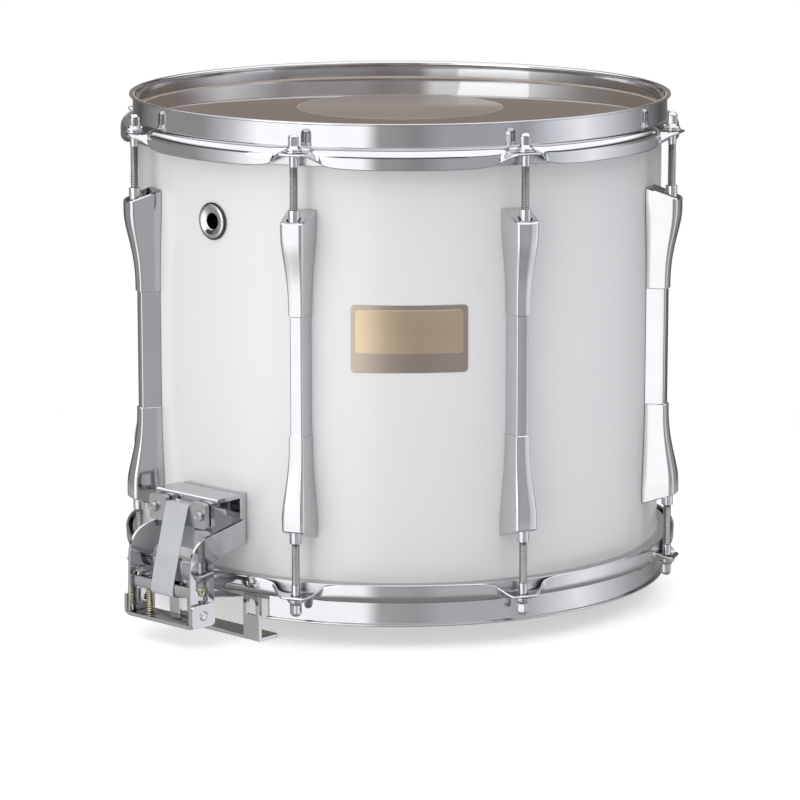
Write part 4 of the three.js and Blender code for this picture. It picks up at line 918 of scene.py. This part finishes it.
def springs(unit):
    """The two helical springs, each stretched between the cross bar and the bridge."""
    matrix = unit_matrix(unit)
    low, high = CROSS_BAR_TOP + GAP + SPRING_WIRE / 2, BRIDGE_BOTTOM - GAP - SPRING_WIRE / 2
    for side, sign in SIDES:
        at = Vector((SCREW_REACH, sign * SCREW_SPACING / 2, 0))
        part = coil(SPRING_RADIUS, low, high, SPRING_TURNS, SPRING_WIRE, 18, 8, lambda p: matrix @ (p + at))
        name = unit + "_spring_" + side
        obj = finished(mesh_object(name + "_coil", [part]), zinc, None, [name], smooth=70)
        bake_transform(obj)


def strap_route():
    """The strap's line in (reach, height): up behind the clamp, over its notch, down the bridge's nose, under
    the bridge and in to the wires. The third value rounds a corner."""
    slack = STRAP / 2 + GAP
    inside = HANGER_FRONT + CLAMP_BACK + slack
    back = HANGER_FRONT + CLAMP_BACK + CLAMP_SPACE
    front = back + CLAMP_FRONT + slack
    nose = BRIDGE_FRONT + slack
    under = BRIDGE_BOTTOM - slack
    level = END_PLATE_BOTTOM - slack
    return [
        (inside, CLAMP_BOTTOM - 16), (inside, NOTCH_BOTTOM + slack + 0.4, 1.6),
        (front, NOTCH_BOTTOM + slack + 0.4, 1.8), (nose, STRAP_NOSE, 3), (nose, under + 0.8, 2),
        (BRIDGE_FRONT - 3, under - 0.4, 2), (BRIDGE_FRONT - BRIDGE_DEPTH, under - 2.6, 8),
        (WIRE_REACH + 12, level, 8), (WIRE_REACH - 12, level)]


def open_fillet(points, steps=8):
    """An open line whose inner corners are rounded, with the long runs cut into short ones."""
    line = [Vector(points[0][:2])]
    for i in range(1, len(points) - 1):
        corner = Vector(points[i][:2])
        before = Vector(points[i - 1][:2]) - corner
        after = Vector(points[i + 1][:2]) - corner
        size = min(points[i][2], before.length / 2.05, after.length / 2.05)
        start, end = corner + before.normalized() * size, corner + after.normalized() * size
        line += rounded(start, corner, end, steps)
    line.append(Vector(points[-1][:2]))
    fine = [line[0]]
    for p in line[1:]:
        pieces = max(1, math.ceil((p - fine[-1]).length / 3))
        start = fine[-1]
        fine += [start.lerp(p, k / pieces) for k in range(1, pieces + 1)]
    return fine


def strap_piece(name, unit, line, nodes, first, second, start, end):
    """A run of the strap along its line of (reach, height) points. The two bodies and the two points it is
    given are not used.
    """
    matrix = unit_matrix(unit)
    rings = []
    low, high = STRAP_SHIFT - STRAP_WIDTH / 2, STRAP_SHIFT + STRAP_WIDTH / 2
    top = [(low, 0.4), (low + 0.5, 1), ((low + high) / 2, 1), (high - 0.5, 1), (high, 0.4)]
    for i, p in enumerate(line):
        way = (line[min(i + 1, len(line) - 1)] - line[max(i - 1, 0)]).normalized()
        side = Vector((-way.y, way.x)) * STRAP / 2
        ring = []
        for t, s in top + [(t, -s) for t, s in reversed(top)]:
            q = p + side * s
            ring.append(matrix @ Vector((q.x, t, q.y)))
        rings.append(ring)
    piece = finished(mesh_object(name, [lofted(rings)]), band, None, nodes, smooth=60)
    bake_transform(piece)


def straps(unit):
    """The strap in runs that each cross one joint: carriage to drum, drum to bridge, bridge to drum, drum to
    wires. The butt's clamp is fixed, so its strap has no run for a carriage."""
    line = open_fillet(strap_route())
    bridge = unit + "_bridge"
    high, under, inner = (
        next(i for i, p in enumerate(line) if p.x > HANGER_FRONT + 8 and p.y < STRAP_CUT_HEIGHT),
        next(i for i, p in enumerate(line) if p.y < BRIDGE_BOTTOM and p.x < BRIDGE_FRONT - BRIDGE_DEPTH),
        next(i for i, p in enumerate(line) if p.y < BRIDGE_BOTTOM and p.x < STRAP_CUT_REACH))
    down = ("drum", bridge, (224, STRAP_CUT_HEIGHT - 1), (224, 43))
    if unit == "throw":
        strap_piece("throw_strap_upper", unit, line[:high + 1], ["throw_strap"],
                    "carriage", "drum", (216, 78), (222, STRAP_CUT_HEIGHT + 2))
        strap_piece("throw_strap_middle", unit, line[high:under + 1], [], *down)
    else:
        strap_piece("butt_strap_upper", unit, line[:under + 1], ["butt_strap"], *down)
    strap_piece(unit + "_strap_under", unit, line[under:inner + 1], [], bridge, "drum", (212, 28), (197, 28))
    strap_piece(unit + "_strap_lower", unit, line[inner:], [], "drum", "snares", (194, 24), (170, 24))


def outlined(points, low, high, matrix):
    """A slab across the unit from an outline of (reach, height) points."""
    return placed(lofted([[Vector((x, y, z)) for x, z in points] for y in (low, high)]), matrix)


def frame_piece(unit):
    """The base casting and an arm down each side, with a round-topped window for the bridge's slider."""
    matrix = unit_matrix(unit)
    arm = fillet([
        (LEG_BACK, CROSS_BAR_TOP + GAP, 0.3), (LEG_FRONT, CROSS_BAR_TOP + GAP, 0.3),
        (LEG_FRONT - 1, ARM_SHOULDER, 17), (BASE_FRONT - 0.5, ARM_TOP, 0.5),
        (BASE_FRONT - 0.5, ARM_UNDER, 0.5), (LEG_BACK, ARM_KNEE, 8)], 10)
    parts = [outlined(arm, low, low + ARM_SHEET, matrix) for low in (-HALF_UNIT, HALF_UNIT - ARM_SHEET)]
    back = SHELL_RADIUS + GAP
    half_angle = math.degrees(math.asin(BASE_HALF / back))
    plan = [Vector((BASE_FRONT, -BASE_HALF, 0)), Vector((BASE_FRONT, BASE_HALF, 0))]
    plan += [polar(back, half_angle * (1 - k / 12), 0) for k in range(25)]
    base = lofted([[p + Vector((0, 0, z)) for p in plan] for z in (BASE_LOW, BASE_HIGH)])
    parts.append(placed(base, matrix))
    pieces = [mesh_object("%s_frame_part_%d" % (unit, i), [part]) for i, part in enumerate(parts)]
    for arm_piece in pieces[:2]:
        carved(arm_piece, outlined(fillet(WINDOW, 8), -40, 40, matrix))
    obj = bevelled(joined(unit + "_frame_piece", pieces), 0.4)
    finished(obj, chrome, "drum", [unit + "_frame"])
    even_normals(obj)


def clamp_front_piece(unit, body):
    """The clamp's front plate, thick enough to close on the strap, with a notch where the strap folds."""
    matrix = unit_matrix(unit)
    notch_left, notch_right = STRAP_SHIFT - NOTCH_HALF, STRAP_SHIFT + NOTCH_HALF
    outline = fillet([
        (-CLAMP_HALF, CLAMP_BOTTOM, 2), (CLAMP_HALF, CLAMP_BOTTOM, 2), (CLAMP_HALF, CLAMP_TOP, 3.2),
        (notch_right, CLAMP_TOP, 2.2), (notch_right, NOTCH_BOTTOM, 2.2), (notch_left, NOTCH_BOTTOM, 2.2),
        (notch_left, CLAMP_TOP, 2.2), (-CLAMP_HALF, CLAMP_TOP, 3.2)], 6)
    front = HANGER_FRONT + CLAMP_BACK + CLAMP_SPACE + CLAMP_FRONT
    slab = lofted([[Vector((x, y, z)) for y, z in outline] for x in (front - CLAMP_FRONT - 1.2, front)])
    holes = []
    for _, sign in SIDES:
        at = Matrix.Translation((front, sign * CLAMP_SCREW_SPACING / 2, (CLAMP_BOTTOM + CLAMP_TOP) / 2))
        holes.append(placed(cylinder(2.2, -8, 8, 24), matrix @ at @ Matrix.Rotation(math.pi / 2, 4, "Y")))
    obj = bevelled(carved(mesh_object(unit + "_clamp_front_piece", [placed(slab, matrix)]), *holes), 0.4)
    finished(obj, satin, body, [unit + "_clamp_front"])
    even_normals(obj)


def cross_bar_piece(unit):
    """A floor of sheet bent up at both ends into tabs with round corners, each held by a flat rivet."""
    matrix = unit_matrix(unit)
    inner = HALF_UNIT + GAP
    outer = inner + ARM_SHEET
    face = inner + 0.1
    top = CROSS_TAB_TOP - 5
    bend = CROSS_BEND - 2.2
    line = fillet([
        (-outer, top), (-outer, CROSS_BAR_BOTTOM, CROSS_BEND), (outer, CROSS_BAR_BOTTOM, CROSS_BEND),
        (outer, top), (face, top), (face, CROSS_BAR_TOP, bend), (-face, CROSS_BAR_TOP, bend),
        (-face, top)], 6)
    ends = (CROSS_BAR_BACK + 0.8, CROSS_BAR_FRONT - 0.8)
    channel = placed(lofted([[Vector((x, y, z)) for y, z in line] for x in ends]), matrix)
    aside = SCREW_SPACING / 2
    holes = [placed(cylinder(1.9, 5, 25, 24, (SCREW_REACH, sign * aside, 0)), matrix) for _, sign in SIDES]
    floor_piece = carved(mesh_object(unit + "_cross_floor", [channel]), *holes)
    tab = fillet([
        (CROSS_BAR_BACK, CROSS_BAR_BOTTOM + 0.8, 3.6), (CROSS_BAR_FRONT, CROSS_BAR_BOTTOM + 0.8, 3.6),
        (CROSS_BAR_FRONT, CROSS_TAB_TOP, 4), (CROSS_BAR_BACK, CROSS_TAB_TOP, 4)], 6)
    tabs = mesh_object(unit + "_cross_tabs", [
        outlined(tab, low, low + ARM_SHEET + 0.15, matrix) for low in (-outer - 0.15, inner)])
    rivets = []
    profile = fillet([(AXIS, -0.5), (3.3, -0.5), (3.3, 0.7, 0.5), (2.4, 1.15, 0.6), (AXIS, 1.2)], 4)
    for _, sign in SIDES:
        at = Matrix.Translation(((CROSS_BAR_BACK + CROSS_BAR_FRONT) / 2, sign * outer, RIVET_HEIGHT))
        rivets.append(placed(turned(profile, 36), matrix @ at @ Matrix.Rotation(-sign * math.pi / 2, 4, "X")))
    obj = bevelled(joined(unit + "_cross_bar_piece", [floor_piece, tabs]), 0.45)
    obj = joined(unit + "_cross_bar_piece", [obj, mesh_object(unit + "_rivets", rivets)])
    finished(obj, chrome, "drum", [unit + "_cross_bar"])
    even_normals(obj)


def eyelets(unit):
    """A pressed eyelet on each slider plate of the bridge."""
    matrix = unit_matrix(unit)
    profile = fillet([(1.3, 0), (3.0, 0), (2.9, 1.8, 0.5), (1.9, 2.3, 0.4), (1.3, 1.5, 0.2)], 4)
    for side, sign in SIDES:
        at = Matrix.Translation((EYELET_REACH, sign * EYELET_OUT, EYELET_HEIGHT))
        part = placed(turned(profile, 28), matrix @ at @ Matrix.Rotation(-sign * math.pi / 2, 4, "X"))
        finished(mesh_object(unit + "_eyelet_" + side, [part]), zinc, unit + "_bridge")


for unit in ("butt", "throw"):
    springs(unit)
    straps(unit)
    eyelets(unit)
    frame_piece(unit)
    cross_bar_piece(unit)
    refined(unit + "_guard", chrome, "drum", 0.4)
    refined(unit + "_bridge", chrome, unit + "_bridge", 0.3)
    clamp_body = "drum" if unit == "butt" else "carriage"
    clamp_front_piece(unit, clamp_body)
    for side, _ in SIDES:
        refined(unit + "_clamp_screw_" + side, chrome, clamp_body, 0.3)
        refined(unit + "_height_screw_" + side, plated, unit + "_height_screw_" + side, 0.25)
refined("butt_hanger", chrome, "drum", 0.4)
refined("throw_housing", chrome, "drum", 0.6)
refined("throw_carriage", chrome, "carriage", 0.4)
refined("throw_lever", chrome, "lever", 0.5)
refined("throw_tension_knob", satin, "tension_knob", 0.3)


# Camera, floor and light

def direction(azimuth, elevation):
    e = math.radians(elevation)
    return polar(math.cos(e), azimuth, math.sin(e))


def aimed(obj, way):
    """Turns a camera or lamp to look along a direction."""
    obj.rotation_mode = "QUATERNION"
    obj.rotation_quaternion = way.to_track_quat("-Z", "Y")


def camera():
    data = bpy.data.cameras.new("camera")
    data.sensor_width = SENSOR
    data.lens = FOCAL_PIXELS * SENSOR / FRAME_PIXELS
    data.clip_end = 100
    obj = linked("camera", data)
    obj.location = polar(CAMERA_DISTANCE, CAMERA_AZIMUTH, CAMERA_HEIGHT) * MM
    aimed(obj, -direction(CAMERA_AZIMUTH, -CAMERA_PITCH))
    bpy.context.scene.camera = obj


def math_node(tree, operation, first, second=0.0):
    node = tree.nodes.new("ShaderNodeMath")
    node.operation = operation
    for socket, value in zip(node.inputs, (first, second)):
        if isinstance(value, (int, float)):
            socket.default_value = value
        else:
            tree.links.new(value, socket)
    return node.outputs[0]


def spread(tree, value, start, end):
    """A soft step from 0 at start to 1 at end."""
    node = tree.nodes.new("ShaderNodeMapRange")
    node.interpolation_type = "SMOOTHSTEP"
    node.inputs["From Min"].default_value = start
    node.inputs["From Max"].default_value = end
    tree.links.new(value, node.inputs["Value"])
    return node.outputs["Result"]


def seen_bare(tree):
    """One for a ray that shows what it meets: from the camera, or by way of metal or glass."""
    path = tree.nodes.new("ShaderNodeLightPath")
    seen = math_node(tree, "MAXIMUM", path.outputs["Is Camera Ray"], path.outputs["Is Glossy Ray"])
    return math_node(tree, "MAXIMUM", seen, path.outputs["Is Transmission Ray"])


def floor():
    """A round pale floor that keeps the shadow near the drum and thins out to the background at its edge."""
    obj = mesh_object("floor", [cylinder(FLOOR_RADIUS, FLOOR_BOTTOM, FLOOR_TOP, 128)])
    material = bpy.data.materials.new("floor")
    material.use_nodes = True
    tree = material.node_tree
    link = tree.links.new
    shader = tree.nodes["Principled BSDF"]
    shader.inputs["Base Color"].default_value = (0.8, 0.8, 0.8, 1)
    shader.inputs["Roughness"].default_value = 0.9
    shader.inputs["Specular IOR Level"].default_value = 0
    shader.inputs["Emission Color"].default_value = (1, 1, 1, 1)
    place = tree.nodes.new("ShaderNodeTexCoord")
    length = tree.nodes.new("ShaderNodeVectorMath")
    length.operation = "LENGTH"
    link(place.outputs["Object"], length.inputs[0])
    link(math_node(tree, "MULTIPLY", seen_bare(tree), FLOOR_LIFT), shader.inputs["Emission Strength"])
    clear = tree.nodes.new("ShaderNodeBsdfTransparent")
    blend = tree.nodes.new("ShaderNodeMixShader")
    path = tree.nodes.new("ShaderNodeLightPath")
    thin = math_node(tree, "MULTIPLY", path.outputs["Is Glossy Ray"], FLOOR_GLIMPSE)
    edge = spread(tree, length.outputs["Value"], FLOOR_FADE * MM, FLOOR_RADIUS * MM * 0.98)
    link(math_node(tree, "MAXIMUM", edge, thin), blend.inputs[0])
    link(shader.outputs["BSDF"], blend.inputs[1])
    link(clear.outputs["BSDF"], blend.inputs[2])
    link(blend.outputs["Shader"], tree.nodes["Material Output"].inputs["Surface"])
    obj.data.materials.append(material)


def area_light(name, azimuth, elevation, distance, size, radiance, colour=(1, 1, 1), glossy=True):
    """A soft box that faces the drum. Angles are degrees, distance and size are metres."""
    data = bpy.data.lights.new(name, "AREA")
    data.shape = "RECTANGLE"
    data.size, data.size_y = size
    data.energy = radiance * math.pi * size[0] * size[1]
    data.color = colour
    obj = linked(name, data)
    way = direction(azimuth, elevation)
    obj.location = Vector((0, 0, LAMP_AIM)) + way * distance
    aimed(obj, -way)
    obj.visible_glossy = glossy


def world():
    """A studio painted by direction, with soft boxes round the horizon, and white where it is seen bare."""
    made = bpy.data.worlds.new("studio")
    bpy.context.scene.world = made
    made.use_nodes = True
    tree = made.node_tree
    link = tree.links.new
    background = tree.nodes["Background"]
    place = tree.nodes.new("ShaderNodeTexCoord")
    split = tree.nodes.new("ShaderNodeSeparateXYZ")
    turn = tree.nodes.new("ShaderNodeVectorRotate")
    turn.rotation_type = "Z_AXIS"
    turn.inputs["Angle"].default_value = -math.radians(STUDIO_AZIMUTH)
    link(place.outputs["Generated"], turn.inputs["Vector"])
    link(turn.outputs["Vector"], split.inputs[0])
    round_share = math_node(tree, "ARCTAN2", split.outputs["Y"], split.outputs["X"])
    round_share = math_node(tree, "MULTIPLY_ADD", round_share, 1 / TAU)
    round_share.node.inputs[2].default_value = 0.5
    ramp = tree.nodes.new("ShaderNodeValToRGB")
    stops = ramp.color_ramp.elements
    for stop in stops:
        stop.color = (*STUDIO_STOPS[0][1], 1)
    for degrees, colour in STUDIO_STOPS[1:]:
        stops.new(0.5 + degrees / 360).color = (*colour, 1)
    link(round_share, ramp.inputs["Fac"])
    rise = split.outputs["Z"]
    back_share = spread(tree, split.outputs["X"], *BEHIND_REACH)
    behind = math_node(tree, "MULTIPLY", spread(tree, rise, *BEHIND_RISE), back_share)
    studio = mixed(tree, behind, ramp.outputs["Color"], STUDIO_BEHIND)
    studio = mixed(tree, spread(tree, rise, *SEAM_RISE), studio, STUDIO_SEAM)
    path = tree.nodes.new("ShaderNodeLightPath")
    top = mixed(tree, path.outputs["Is Glossy Ray"], STUDIO_TOP, STUDIO_TOP_SHEEN)
    studio = mixed(tree, spread(tree, rise, *TOP_RISE), studio, top)
    studio = mixed(tree, spread(tree, rise, *BELOW_RISE), studio, STUDIO_BELOW)
    bare = math_node(tree, "MAXIMUM", path.outputs["Is Camera Ray"], path.outputs["Is Transmission Ray"])
    link(mixed(tree, bare, studio, (1, 1, 1)), background.inputs["Color"])
    background.inputs["Strength"].default_value = 1


camera()
floor()
world()
area_light("key", CAMERA_AZIMUTH - 45, elevation=20, distance=2.4, size=(1.5, 1.5), radiance=1.05)
area_light("back", CAMERA_AZIMUTH + 180, elevation=12, distance=2.6, size=(2, 1.6), radiance=1.6,
           glossy=False)
area_light("fill", CAMERA_AZIMUTH + 40, elevation=30, distance=2.6, size=(1.2, 1.4), radiance=0.25,
           colour=(0.95, 0.97, 1))
bpy.context.scene.view_settings.view_transform = "Standard"
